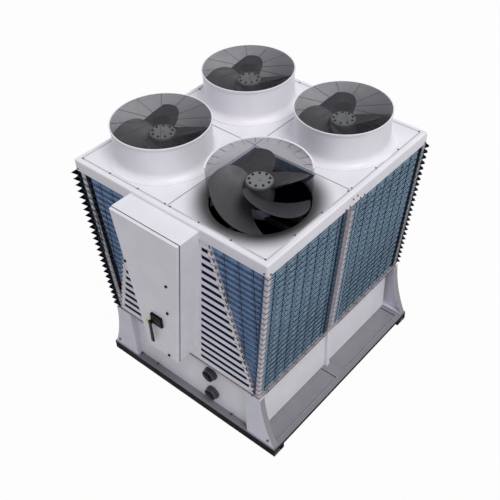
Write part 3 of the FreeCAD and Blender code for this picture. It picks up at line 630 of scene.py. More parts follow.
# Painted shade: a dark plate beside each centre post.
POST_SHADE_PLATE = Finish("painted_shade_post_plate", "#34475F", "#202D40", cloud_mm=12.0, cloud_share=0.9,
                    roughness=0.6, ior=1.3)
WIRE = Finish("coated_guard_wire", "#15202C", "#1E2C3B", cloud_mm=15.0, roughness=0.5, ior=1.3)
CLIP = Finish("brown_coated_clip", "#5D4A4B", "#473A3C", cloud_mm=10.0, roughness=0.5, ior=1.3)
RING_WIRE = Finish("coated_grille_wire", "#5A5A60", "#6A6A70", cloud_mm=15.0, ior=1.3)
SPOKE_WIRE = Finish("coated_spoke_wire", "#34343A", "#424248", cloud_mm=15.0, ior=1.3)
NYLON = Finish("glass_filled_nylon", "#3C3C40", "#323236", cloud_mm=30.0, roughness=0.42, ior=1.35,
               relief_mm=1.5, relief_strength=0.15)
HUB_METAL = Finish("cast_hub_aluminium", "#747677", "#656768", cloud_mm=12.0, roughness=0.5, ior=1.4,
                   relief_mm=1.5, relief_strength=0.3)
# The near-black other colour is painted shade on the motor bars inside the unit.
MOTOR = Finish("motor_enamel", "#A9A8BC", "#9594AA", cloud_mm=50.0, other="#0E0E11", mask=shaded_motor_bars)
BLACK_PLASTIC = Finish("black_moulded_plastic", "#0B0B0D", "#141417", cloud_mm=12.0, ior=1.3, relief_mm=1.0,
                       relief_strength=0.3, gloss=0.2)
YELLOW_PLASTIC = Finish("yellow_moulded_plastic", "#D8D23A", "#C6BF2E", cloud_mm=8.0, roughness=0.4,
                        relief_mm=1.0, relief_strength=0.2)
PIPE = Finish("painted_steel_pipe", "#46454D", "#36353C", cloud_mm=30.0, ior=1.35)
CLEAR = Finish("clear_polycarbonate", "#77757C", "#6B6970", roughness=0.15, ior=1.3, relief_strength=0.02,
               alpha=0.32)
# Painted shade: the drain pan inside the unit is near-black, as the interior lies in shade.
DRAIN_PAN_SHADE = Finish("painted_shade_drain_pan", "#0D0D0F", "#060607", cloud_mm=120.0, roughness=0.7, ior=1.2)
# Painted shade: a dark sheet behind each end face.
SHADE_SHEET = Finish("painted_shade_sheet", "#36456B", "#26324F", cloud_mm=80.0, roughness=0.8, ior=1.2,
                relief_mm=3.0, relief_strength=0.3)
SEALANT = Finish("grey_seam_sealant", "#A2A1A7", "#8E8D93", cloud_mm=30.0, roughness=0.6, ior=1.3)
RIM_SEALANT = Finish("light_seam_sealant", "#C4C3C9", "#B3B2B8", cloud_mm=30.0, roughness=0.6, ior=1.3)
BARE_SHEET = Finish("bare_galvanised_sheet", "#ECEBEE", "#B0AFB4", cloud_mm=14.0, cloud_share=0.9,
                    roughness=0.5)
SCREW = Finish("dark_zinc_screw", "#3F3A3A", "#4F4847", cloud_mm=4.0, ior=1.35)
BLACK_BOLT = Finish("black_oxide_bolt", "#111112", "#1C1C1D", cloud_mm=6.0, roughness=0.5, ior=1.3)
FOAM = Finish("black_foam_seal", "#06080B", "#0E1116", cloud_mm=10.0, roughness=0.9, ior=1.2, relief_mm=3.0,
              relief_strength=0.4, gloss=0.1)

NODE_FINISHES = {
    "base_frame": SKID, "corner_pads": RUBBER, "base_pan": PAN, "legs": LEG_ENAMEL, "waist_frame": WAIST,
    "drain_pan": DRAIN_PAN_SHADE, "coil_right": FINS, "coil_left": FINS, "corner_posts": CORNER,
    "centre_posts": COIL_END, "louvre_panels": LOUVRE_ENAMEL, "tooth_plates": FOAM, "fan_motors": MOTOR,
    "cover_locks": BLACK_PLASTIC, "isolator_plate": BLACK_PLASTIC, "selector_disc": YELLOW_PLASTIC,
    "water_outlet": PIPE, "water_inlet": PIPE, "fan_stack_front_right": CLEAR,
    "deck_panel_front_right": CUT_DECK,
} | dict.fromkeys(("lower_panel_front", "lower_panel_back", "lower_side_panels", "side_struts",
                   "diagonal_strips", "middle_panels", "deck_frame", "control_cabinet", "cabinet_cover",
                   "stack_rim_front_right"), ENAMEL)


class Paintbox:
    """Makes each finish once and puts it on pieces and CAD nodes."""

    def __init__(self) -> None:
        """Starts with nothing made."""
        self.made: dict[str, bpy.types.Material] = {}

    def of(self, finish: Finish) -> bpy.types.Material:
        """The Blender material of a finish, made when first asked for."""
        if finish.name not in self.made:
            self.made[finish.name] = finish.make()
        return self.made[finish.name]

    def dress_node(self, node: str, finish: Finish) -> None:
        """Gives a CAD node a finish, in its object's material slots."""
        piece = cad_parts[node]
        if not piece.material_slots:
            piece.data.materials.append(None)
        for one in piece.material_slots:
            one.material = self.of(finish)
        LOG.info("node %s: %s", node, finish.name)

    def make_piece(self, name: str, shape: Shape, finish: Finish, body: str = HOUSING,
                   replaces: tuple[str, ...] = (), crease: float = 35.0) -> bpy.types.Object:
        """Turns a shape into a piece of the object.

        Args:
            name: The piece's name.
            shape: Its points and faces, in place.
            finish: Its finish.
            body: The CAD body that it rides on.
            replaces: CAD nodes that it stands for.
            crease: Edges that bend by more than this many degrees stay sharp.

        Returns:
            The Blender object.
        """
        mesh = bpy.data.meshes.new(name)
        corners = np.concatenate([part.ravel() for part in shape.faces]).astype(np.int32)
        sizes = np.concatenate([np.full(len(part), part.shape[1]) for part in shape.faces])
        starts = np.concatenate([[0], np.cumsum(sizes)[:-1]]).astype(np.int32)
        mesh.vertices.add(len(shape.points))
        mesh.vertices.foreach_set("co", shape.points.astype(np.float32).ravel())
        mesh.loops.add(len(corners))
        mesh.loops.foreach_set("vertex_index", corners)
        mesh.polygons.add(len(starts))
        mesh.polygons.foreach_set("loop_start", starts)
        mesh.polygons.foreach_set("use_smooth", np.ones(len(starts), bool))
        mesh.update(calc_edges=True)
        mesh.validate()
        mesh.set_sharp_from_angle(angle=math.radians(crease))
        mesh.materials.append(self.of(finish))
        piece = add_object(name, mesh)
        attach(piece, body)
        if replaces:
            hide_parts(*replaces)
        LOG.info("piece %s: %d faces on %s", name, len(starts), body)
        return piece


@dataclass(frozen=True)
class FanRotor:
    """One axial rotor: four broad swept blades on a drum, a cast plate over it and a ring of bolts."""

    bay: Bay
    tip: float = 0.354
    root: float = 0.095
    blade_count: int = 4
    high_angles: Pair = (-95.0, -46.0)
    high_bend: float = 1.6
    high_z: Triple = (2.295, 2.377, 2.342)
    low_angles: Pair = (-2.0, 45.0)
    low_bend: float = 0.6
    low_z: Pair = (2.182, 2.119)
    sag: float = 0.047
    edge: float = 0.003
    belly: float = 0.006
    tip_thinning: float = 0.6
    plate_top: float = 2.330
    round_steps: int = 96
    bolt_count: int = 9
    bolt_circle: float = 0.075
    rows: int = 28
    columns: int = 22

    def blade(self) -> Shape:
        """One blade over out (0 at the root, 1 at the tip) and across (0 at the high edge, 1 at the low).

        The radius runs evenly outwards, and each edge's angle follows out to the power of its bend. The
        height runs evenly from edge to edge, less a sag of 4 across (1 - across) out, and the high edge is
        arched by 4 out (1 - out). The section swells from thin edges to a belly and thins at the tip.
        """
        out = np.linspace(0, 1, self.rows)[:, None]
        across = np.linspace(0, 1, self.columns)[None]
        radius = between(self.root, self.tip, out)
        high_angle = between(*self.high_angles, out ** self.high_bend)
        low_angle = between(*self.low_angles, out ** self.low_bend)
        root_z, crest_z, tip_z = self.high_z
        arch = 4 * out * (1 - out) * (crest_z - (root_z + tip_z) / 2)
        high_z = between(root_z, tip_z, out) + arch
        swell = 4 * across * (1 - across)
        angle = np.radians(between(high_angle, low_angle, across))
        height = between(high_z, between(*self.low_z, out), across) - swell * self.sag * out
        thickness = self.edge + self.belly * np.sqrt(swell) * (1 - self.tip_thinning * out)
        return thick_sheet(spread(radius * np.cos(angle), radius * np.sin(angle), height), thickness)

    def drum(self) -> Shape:
        """Hollow drum that narrows below the blades, round the top of the motor."""
        loop = [(0.0875, 2.128), (0.0905, 2.128), (0.1035, 2.205), (0.1035, 2.312), (0.0150, 2.312),
                (0.0150, 2.302), (0.0975, 2.302), (0.0975, 2.207), (0.0875, 2.140)]
        return revolved(loop, self.round_steps, ring=True)

    def plate(self) -> Shape:
        """Round cast plate with a shallow groove near its rim and a raised eye, its top at Z 0."""
        profile = [(0.0940, -0.018), (0.0960, -0.016), (0.0960, -0.004), (0.0930, 0.0), (0.0900, 0.0),
                   (0.0890, -0.0015), (0.0875, -0.0015), (0.0865, 0.0), (0.0150, 0.0), (0.0140, -0.002),
                   (0.0115, -0.002), (0.0105, 0.003), (0.0080, 0.004)]
        return revolved(profile, self.round_steps)

    def bolts(self) -> Shape:
        """Hexagon bolts on washers round the plate."""
        washer = revolved([(0.0100, 0.0), (0.0100, 0.0015), (0.0092, 0.0020)], 18)
        head = revolved([(0.0085, 0.0015), (0.0085, 0.0075), (0.0072, 0.0085)], 6)
        turn = (np.arange(self.bolt_count) + 0.25) * 2 * math.pi / self.bolt_count
        places = spread(np.cos(turn), np.sin(turn), 0.0) * self.bolt_circle
        return joined([washer, head]).stamped(places)

    def build(self, paints: Paintbox) -> None:
        """Makes the rotor's three pieces on its own body."""
        label = self.bay.label
        body, centre = "rotor_" + label, (*self.bay.axis, 0.0)
        on_top = (*self.bay.axis, self.plate_top)
        one = self.blade()
        blades = [one.turned(360 * i / self.blade_count) for i in range(self.blade_count)]
        wheel = joined(blades + [self.drum()]).moved(centre)
        plate, bolts = self.plate().moved(on_top), self.bolts().moved(on_top)
        paints.make_piece("fan_wheel_" + label, wheel, NYLON, body, ("fan_" + label,))
        paints.make_piece("hub_plate_" + label, plate, HUB_METAL, body)
        paints.make_piece("hub_bolts_" + label, bolts, BLACK_BOLT, body)


@dataclass(frozen=True)
class WireGrille:
    """Wire grille over a whole stack: fine rings inside a strong one, and dark spokes on a small ring in
    the middle. The cut stack keeps short ends of its spokes."""

    bay: Bay
    spoke_step: float = 30.0
    first_spoke: float = 15.0
    spoke_radius: float = 0.0018
    eye_ring: float = 0.062
    outer_ring: float = 0.3690
    ring_radius: float = 0.0022
    fine_first: float = 0.074
    fine_last: float = 0.362
    fine_pitch: float = 0.0095
    fine_radius: float = 0.0008
    height: float = 2.4272
    steps: int = 96
    cut_spokes: Triple = (45.0, 215.0, 15.0)
    cut_inner: float = 0.305

    def ring(self, radius: float, wire: float) -> Shape:
        """One level ring of wire with a four-sided section."""
        turn = np.arange(4) * math.pi / 2
        section = np.stack([radius + wire * np.cos(turn), self.height + wire * np.sin(turn)], axis=1)
        return revolved(section.tolist(), self.steps, ring=True)

    def spokes(self, first: float, last: float, step: float, inner: float) -> Shape:
        """Straight level wires from an inner radius to the strong outer ring, at angles in degrees."""
        turn = np.radians(np.arange(first, last, step))[:, None]
        radius = np.array([[inner, self.outer_ring]])
        path = spread(radius * np.cos(turn), radius * np.sin(turn), self.height)
        return wires(path, (0, 0, 1), self.spoke_radius)

    def build(self, paints: Paintbox) -> None:
        """Makes the grille, or the spoke ends of the cut bay."""
        label, centre = self.bay.label, (*self.bay.axis, 0.0)
        if self.bay is CUT_BAY:
            ends = self.spokes(*self.cut_spokes, self.cut_inner).moved(centre)
            paints.make_piece("spoke_ends_" + label, ends, SPOKE_WIRE)
            return
        radii = np.arange(self.fine_first, self.fine_last, self.fine_pitch)
        fine = [self.ring(radius, self.fine_radius) for radius in radii]
        rings = joined(fine + [self.ring(self.outer_ring, self.ring_radius)]).moved(centre)
        spokes = joined([self.spokes(self.first_spoke, 360.0, self.spoke_step, self.eye_ring),
                         self.ring(self.eye_ring, self.fine_radius)])
        paints.make_piece("wire_grille_" + label, rings, RING_WIRE,
                          replaces=("fan_grille_" + label,), crease=100.0)
        paints.make_piece("grille_spokes_" + label, spokes.moved(centre), SPOKE_WIRE)


@dataclass(frozen=True)
class GuardWires:
    """Coil guards of zigzag uprights with level wires in their tips and valleys, one panel each side of the
    centre post and one on each coil end, with brown clips round the white corners and black teeth along the
    bare ones."""

    radius: float = 0.0021
    tip: float = 0.038
    side_valley: float = -0.005
    end_valley: float = 0.006
    zigzag_radius: float = 0.0016
    rod_radius: float = 0.0026
    side_spans: tuple[Pair, ...] = ((-0.928, -0.142), (-0.004, 0.928))
    side_columns: tuple[float, ...] = (0.180, 0.298, 0.416, 0.534, 0.652, 0.770, 0.888)
    post_column: float = 0.075
    cover_rise: float = 0.0035
    cover_rod: float = 0.020
    end_columns: tuple[float, ...] = (0.560, 0.690, 0.820)
    upright_rod_radius: float = 0.0024
    clip_radius: float = 0.00252
    clip_reach: float = 0.034
    clip_proud: float = 0.004
    dash_radius: float = 0.0045
    dash_share: float = 0.22
    dash_proud: float = 0.002
    tooth_base: Pair = (0.032, 0.004)
    tooth_front: Pair = (0.62, 1.0)
    tooth_back: Pair = (0.32, 0.62)
    end_overlap: float = 0.012
    edge_inset: float = 0.006

    def out(self, valley: float) -> np.ndarray:
        """Distance of the wire's middle line from the face at each level: valley, tip, valley and so on."""
        odd = np.arange(2 * UNIT.guard_periods + 1) % 2 == 1
        return np.where(odd, self.tip, valley) - self.radius

    def side_shape(self) -> Shape:
        """Uprights and level wires of one leaning side, x given from the coil corner line."""
        levels, out = UNIT.levels(), self.out(self.side_valley)
        ys = np.array([sign * y for y in self.side_columns for sign in (-1, 1)] + [self.post_column])
        columns = spread(out, ys[:, None], levels)
        level = spread(out[1:-1, None, None], self.side_spans, levels[1:-1, None, None])
        rods = columns[:, [0, -1]]
        rods[..., 0] = self.side_valley - self.radius
        over = spread(self.cover_rise, (self.side_spans[1][0], self.post_column), levels[2:-1:2, None])
        rod = spread(self.cover_rise, self.cover_rod, levels[None, [0, -1]])
        return joined([wires(columns, (0, 1, 0), self.zigzag_radius),
                       wires(rods, (0, 1, 0), self.upright_rod_radius),
                       wires(over, (0, 0, 1), self.radius), wires(rod, (0, 1, 0), self.radius),
                       wires(level.reshape(-1, 2, 3), (0, 0, 1), self.radius)])

    def upright(self, xs: Numbers, chosen: np.ndarray | slice) -> Shape:
        """A zigzag upright on the front face and a straight rod behind it, at the chosen levels."""
        out = self.out(self.end_valley)
        zigzag = spread(xs, -UNIT.face_y - out, UNIT.levels())[chosen]
        rod = zigzag[[0, -1]]
        rod[:, 1] = -UNIT.face_y - out.min()
        return joined([wires(zigzag[None], (1, 0, 0), self.zigzag_radius),
                       wires(rod[None], (0, 1, 0), self.rod_radius)])

    def end_shape(self) -> Shape:
        """Uprights and level wires over the three-cornered end of the right-hand coil, on the front."""
        levels, out = UNIT.levels(), self.out(self.end_valley)
        strip_edge = UNIT.diagonal_x(levels) + UNIT.strip
        post_edge = UNIT.corner_x(levels) - UNIT.post
        uprights = [self.upright(x, (strip_edge < x) & (x < post_edge)) for x in self.end_columns]
        uprights.append(self.upright(post_edge + self.edge_inset, slice(None)))
        ends = np.stack([strip_edge - self.end_overlap, post_edge + self.end_overlap], axis=1)
        level = spread(ends, -UNIT.face_y - out[:, None], levels[:, None])[1:-1]
        return joined(uprights + [wires(level, (0, 0, 1), self.radius)])

    def clips(self) -> Shape:
        """A bent wire round the white corner at each tip level: face, corner, face."""
        levels, proud, reach = UNIT.levels()[1::2], self.clip_proud, self.clip_reach
        xs = UNIT.corner_x(levels)[:, None] + np.array([-reach, proud, proud])
        path = spread(xs, -UNIT.face_y + np.array([-proud, -proud, reach]), levels[:, None])
        return half_turned(wires(path, (0, 0, 1), self.clip_radius))

    def dashes(self) -> Shape:
        """Dark knots along the slanted strips, one to a period: partly wire ends and partly painted shadow
        of the wires on the strips.
        """
        levels = UNIT.levels()[1::2]
        rise = self.dash_share * (levels[1] - levels[0])
        zs = levels[:, None] + np.array([[-rise, rise]])
        path = spread(UNIT.diagonal_x(zs) + UNIT.strip / 2, -UNIT.face_y - self.dash_proud, zs)
        return both_sides(both_ends(wires(path, (0, 1, 0), self.dash_radius)))

    def teeth(self, shares: Pair) -> Shape:
        """Pyramids along the bare corner at +X and +Y: four points on the post, two at the valley below and
        two at the valley above, and an apex. Their reach grows evenly from the foot to the top.

        Args:
            shares: Reach at the foot and at the top, as shares of the guard's own.

        Returns:
            All teeth of the corner.
        """
        valleys, tips = UNIT.levels()[0::2], UNIT.levels()[1::2]
        low, high = shares
        reach = self.tip * (low + (high - low) * UNIT.rise(tips) / UNIT.rise(tips[-1]))
        (along, back), face = self.tooth_base, UNIT.face_y
        points = np.empty((len(tips), 5, 3))
        for place, zs in enumerate((valleys[:-1], valleys[1:])):
            corner = UNIT.corner_x(zs)
            points[:, place] = spread(corner - along, face, zs)
            points[:, 3 - place] = spread(corner, face - back, zs)
        points[:, 4] = spread(UNIT.corner_x(tips) + reach, face + reach, tips)
        step = (np.arange(len(tips)) * 5)[:, None, None]
        sides = np.array([[0, 1, 4], [1, 2, 4], [2, 3, 4], [3, 0, 4]])
        foot = np.array([[3, 2, 1, 0]])
        faces = ((sides[None] + step).reshape(-1, 3), (foot[None] + step).reshape(-1, 4))
        return Shape(points.reshape(-1, 3), faces)

    def build(self, paints: Paintbox) -> None:
        """Makes the guards of both sides and of all four coil ends, with their clips, knots and teeth."""
        paints.make_piece("side_guard_wires", half_turned(self.side_shape().leaned()), WIRE,
                          replaces=("side_guards",))
        paints.make_piece("end_guard_wires", both_sides(both_ends(self.end_shape())), WIRE,
                          replaces=("end_guards",))
        paints.make_piece("corner_clips", self.clips(), CLIP)
        # The knots are partly wire ends and partly painted shadow of the wires on the strips.
        paints.make_piece("strip_knots_and_shadows", self.dashes(), CLIP)
        teeth = joined([self.teeth(self.tooth_back), self.teeth(self.tooth_front).scaled((-1, -1, 1))])
        paints.make_piece("corner_teeth", teeth, FOAM)


def strip_up(x: Pair, y: Pair, foot: float = UNIT.waist_z) -> Shape:
    """A flat bar from the waist, or another foot, up to the deck, before it is leaned on the coil."""
    return boxes([x[0], y[0], foot], [x[1], y[1], UNIT.deck_foot])


@dataclass(frozen=True)
class CoilTrim:
    """Ribs, lugs and covers on the centre posts and dark plates of painted shade beside them, seals and
    strips beside the corner posts, dark sheets of painted shade behind the end faces and blue linings in the
    cut bay."""

    rib_pitch: float = 0.02896
    rib_radius: float = 0.0055
    plate_from: float = -0.137
    edge_to: float = -0.090
    post_foot: float = -0.056
    lug_from: float = -0.040
    lug_to: float = -0.008
    cover_to: float = 0.0585
    post_proud: float = -0.001
    seal_width: float = 0.040
    end_seal_width: float = 0.050
    end_seal_rise: float = 0.10
    foot_gap: float = 0.002
    cover_inset: float = 0.006
    lug_x: Pair = (-0.004, 0.005)
    shade_sheet_y: Pair = (-0.950, -0.948)
    shade_sheet_gap: float = 0.004
    lining: Pair = (0.0172, 0.0202)
    lining_end: float = 0.700
    lining_gaps: Pair = (0.004, 0.003)
    lug_half: float = 0.62
    seal_sheet: float = 0.004
    white_width: float = 0.030
    strip_sheet: float = 0.0015
    bare_end: Pair = (-0.081, -0.032)
    inset: float = 0.013
    sheet: float = 0.002

    def ribs(self) -> Shape:
        """Level half-round ribs across a centre post, and the sheet that carries their front ends."""
        zs = np.arange(UNIT.waist_z + self.rib_pitch / 2, UNIT.deck_foot - self.rib_radius, self.rib_pitch)
        path = spread(self.post_proud, (self.edge_to, self.lug_from), zs[:, None])
        backing = strip_up((-self.inset, self.post_proud), (self.edge_to, self.post_foot))
        return joined([wires(path, (0, 0, 1), self.rib_radius, 8), backing])

    def lugs(self) -> Shape:
        """A column of bright stepped lugs up the back edge of a centre post, one to every two ribs."""
        zs = np.arange(UNIT.waist_z + self.rib_pitch, UNIT.deck_foot - self.rib_pitch, 2 * self.rib_pitch)
        half = self.lug_half * self.rib_pitch
        return boxes(spread(self.lug_x[0], self.lug_from, zs - half),
                     spread(self.lug_x[1], self.lug_to, zs + half))

    def seals(self) -> Shape:
        """Black foam beside a bare corner post, on side and end."""
        face, inner = -UNIT.coil_setback, UNIT.face_y - UNIT.post
        front, end = UNIT.face_y - UNIT.coil_setback, self.bare_end[0]
        side = strip_up((face - self.sheet, face + self.seal_sheet), (inner - self.seal_width, inner))
        across = strip_up((end - self.end_seal_width, end), (front - self.sheet, front + self.seal_sheet),
                          UNIT.waist_z + self.end_seal_rise)
        return joined([side, across])

    def edge_strips(self) -> Shape:
        """Finned strips over the inner edges of a white corner post."""
        face, inner, outer, foot = UNIT.face_y, UNIT.post, self.white_width, UNIT.waist_z + self.foot_gap
        side = strip_up((-MM, self.strip_sheet), (-face + outer, -face + inner), foot)
        end = strip_up((-inner, -outer), (-face - self.strip_sheet, -face + MM), foot)
        return joined([side, end])

    def shade_sheets(self) -> Shape:
        """Dark sheets of painted shade inside the end faces, between the slanted strips: x is a share of
        that width.
        """
        (front, back), gap = self.shade_sheet_y, self.shade_sheet_gap
        flat = boxes([-1.0, front, UNIT.waist_z + gap], [1.0, back, UNIT.deck_foot - gap])
        points = flat.points.copy()
        points[:, 0] *= UNIT.diagonal_x(points[:, 2])
        return both_ends(Shape(points, flat.faces))

    def linings(self) -> Shape:
        """Blue strips under the two seams that bound the cut bay."""
        (near, far), end = self.lining, self.lining_end
        low, high = UNIT.deck_foot + self.lining_gaps[0], UNIT.deck_top - self.lining_gaps[1]
        return boxes([[near, -end, low], [near, -far, low]], [[far, -near, high], [end, -near, high]])

    def build(self, paints: Paintbox) -> None:
        """Makes the sheets of painted shade and the linings, and each other shape on the right-hand coil and
        by half-turn.
        """
        # Painted shade: the dark plate beside each centre post.
        edge = strip_up((-self.inset, self.sheet), (self.plate_from, self.edge_to))
        cover = strip_up((-self.cover_inset, self.sheet), (self.lug_to, self.cover_to))
        bare = strip_up(self.bare_end, (UNIT.face_y - self.inset, UNIT.face_y + self.strip_sheet))
        for name, shape, finish, slot in (("centre_post_ribs", self.ribs(), COIL_END, "coil_end"),
                                          ("centre_post_lugs", self.lugs(), FLANGE, "coil_end"),
                                          ("centre_post_shade_plates", edge, POST_SHADE_PLATE, "coil_end"),
                                          ("centre_post_covers", cover, FINS, "coil_fins"),
                                          ("coil_seals", self.seals(), FOAM, "rubber"),
                                          ("bare_strips", bare, BARE_SHEET, "coil_end"),
                                          ("coil_edge_strips", self.edge_strips(), FINS, "coil_fins")):
            paints.make_piece(name, half_turned(shape.leaned()), finish)
        # Painted shade: dark sheets behind the end faces.
        paints.make_piece("end_shade_sheets", self.shade_sheets(), SHADE_SHEET)
        paints.make_piece("cut_bay_linings", self.linings(), LINING)


@dataclass(frozen=True)
class DeckSeams:
    """Sealant in the seams of the deck. The two seams' cut ends at the open bay stay bare."""

    half: float = 0.0046
    rim_half: float = 0.0070
    proud: float = 0.0006
    depth: float = 0.001
    rim_x: float = 0.905
    rim_y: float = 0.935
    cut_x: float = 0.600
    cut_y: float = 0.500

    def strips(self, lines: list[list[float]], proud: float) -> Shape:
        """Flat strips a little proud of the deck, each between low and high X and Y."""
        low, high = UNIT.deck_top - self.depth, UNIT.deck_top + proud
        return boxes([[x0, y0, low] for x0, y0, _, _ in lines], [[x1, y1, high] for _, _, x1, y1 in lines])

    def middle(self) -> Shape:
        """Strips in the seams between the four panels, up to the edge of the open bay."""
        w, x, y = self.half, self.rim_x, self.rim_y
        lines = [[-w, -y, w, -self.cut_y], [-w, 0, w, y], [-x, -w, -w, w], [self.cut_x, -w, x, w]]
        return self.strips(lines, self.proud)

    def rim(self) -> Shape:
        """Strips in the seam round the panels, a little prouder than the others."""
        w, x, y = self.rim_half, self.rim_x, self.rim_y
        lines = [[-x - w, -y - w, -x + w, y + w], [x - w, -y - w, x + w, y + w],
                 [-x + w, -y - w, x - w, -y + w], [-x + w, y - w, x - w, y + w]]
        return self.strips(lines, 2 * self.proud)

    def build(self, paints: Paintbox) -> None:
        """Makes the strips."""
        paints.make_piece("deck_seams", self.middle(), SEALANT)
        paints.make_piece("deck_rim_seams", self.rim(), RIM_SEALANT)


@dataclass(frozen=True)
class TrayTrim:
    """Folded rims and joints of the grey trays along both sides of the skid."""

    inner_x: float = 0.742
    outer_x: float = 0.914
    rim: float = 0.007
    foot_z: float = 0.084
    rim_top: float = 0.0965
    joint_top: float = 0.0915
    near_y: float = 0.0575
    far_y: float = 0.884
    joint: float = 0.005

    def strips(self, inset: float, width: float, top: float) -> Shape:
        """Strips along the outer edge of each tray and across both its ends.

        Args:
            inset: How far in from the tray's outline the strips begin.
            width: Width of the strips.
            top: Height of their upper faces.

        Returns:
            The strips of both trays on both sides.
        """
        x0, x1, z0 = self.inner_x, self.outer_x - inset, self.foot_z
        near, far = self.near_y + inset, self.far_y - inset
        one = boxes([[x1 - width, near, z0], [x0, near, z0], [x0, far - width, z0]],
                    [[x1, far, top], [x1 - width, near + width, top], [x1 - width, far, top]])
        return both_sides(both_ends(one))

    def build(self, paints: Paintbox) -> None:
        """Makes the raised rims and the dark joints beside them."""
        joints = self.strips(self.rim, self.joint, self.joint_top)
        paints.make_piece("tray_rims", self.strips(0.0, self.rim, self.rim_top), TRAY_RIM)
        paints.make_piece("tray_joints", joints, TRAY_JOINT)


@dataclass(frozen=True)
class Fasteners:
    """Screws and bolts of the deck, waist and skid."""

    head: float = 0.0075
    small_head: float = 0.006
    stray_head: float = 0.009
    deck_inset: Pair = (0.052, 0.046)
    deck_x: tuple[float, ...] = (0.025, 0.300, 0.595, 0.895)
    deck_y: tuple[float, ...] = (0.022, 0.330, 0.630)
    fascia_y: tuple[float, ...] = (0.065, 0.114, 0.950)
    fascia_rise: float = 0.012
    over_post: Pair = (0.027, 0.056)
    fascia_front: Pair = (0.922, 0.022)
    waist_pitch: float = 0.095
    waist_reach: Pair = (0.760, 0.950)
    waist_sink: Pair = (0.002, 0.008)
    bolt: tuple[Pair, ...] = ((0.011, 0.0), (0.011, 0.008), (0.009, 0.010))
    panel_bolts: tuple[Triple, ...] = ((0.440, 0.932, 0.090), (0.640, 0.932, 0.090))
    leg_bolt: Triple = (0.878, -0.972, 0.155)
    stray: Triple = (0.468, -0.9198, 0.541)

    def screws(self, radius: float, places: list | np.ndarray, way: Triple) -> Shape:
        """Low pan heads with rounded tops.

        Args:
            radius: Radius of a head.
            places: Where the heads sit, a row of three numbers each.
            way: The direction that they look in.

        Returns:
            All heads as one shape.
        """
        profile = np.array([(1.0, 0.0), (1.0, 0.35), (0.8, 0.62), (0.4, 0.75)]) * radius
        return revolved(profile, 10).facing(way).stamped(places)

    def deck(self) -> Shape:
        """Screws along the seam inside the deck's rim, in pairs at the ends of the panel seams, and near the
        foot of the fascia, by each corner and over the centre posts."""
        x, y = UNIT.half_width - self.deck_inset[0], UNIT.half_depth - self.deck_inset[1]
        flat = [(at, y) for at in self.deck_x] + [(x, at) for at in self.deck_y]
        top = [(*place, UNIT.deck_top) for place in flat]
        rows = [(at, self.fascia_rise) for at in self.fascia_y] + [self.over_post]
        side = [(UNIT.half_width, at, UNIT.deck_foot + rise) for at, rise in rows]
        front = (self.fascia_front[0], -UNIT.half_depth, UNIT.deck_foot + self.fascia_front[1])
        return both_sides(both_ends(joined([self.screws(self.head, top, (0, 0, 1)),
                                            self.screws(self.head, side, (1, 0, 0)),
                                            self.screws(self.head, [front], (0, -1, 0))])))

    def waist(self) -> Shape:
        """Small screws in the groove of the waist frame, all the way round."""
        z = (UNIT.waist_z + UNIT.sill_foot) / 2
        along_x, along_y = (np.arange(-reach, reach + MM, self.waist_pitch) for reach in self.waist_reach)
        side = spread(UNIT.waist_half - self.waist_sink[0], along_y, z)
        end = spread(along_x, -UNIT.face_y + self.waist_sink[1], z)
        return joined([both_sides(self.screws(self.small_head, side, (1, 0, 0))),
                       both_ends(self.screws(self.small_head, end, (0, -1, 0)))])

    def skid(self) -> Shape:
        """Hexagon bolts along the foot of the lower panels and at the foot of each leg, and a single screw
        beside the upper pipe."""
        head = revolved(self.bolt, 6)
        bolts = joined([head.stamped(self.panel_bolts), head.facing((0, -1, 0)).moved(self.leg_bolt)])
        return joined([both_sides(both_ends(bolts)),
                       self.screws(self.stray_head, [self.stray], (0, -1, 0))])

    def build(self, paints: Paintbox) -> None:
        """Makes the three groups of fasteners."""
        for name, shape in (("deck_screws", self.deck()), ("waist_screws", self.waist()),
                            ("skid_bolts", self.skid())):
            paints.make_piece(name, shape, SCREW)


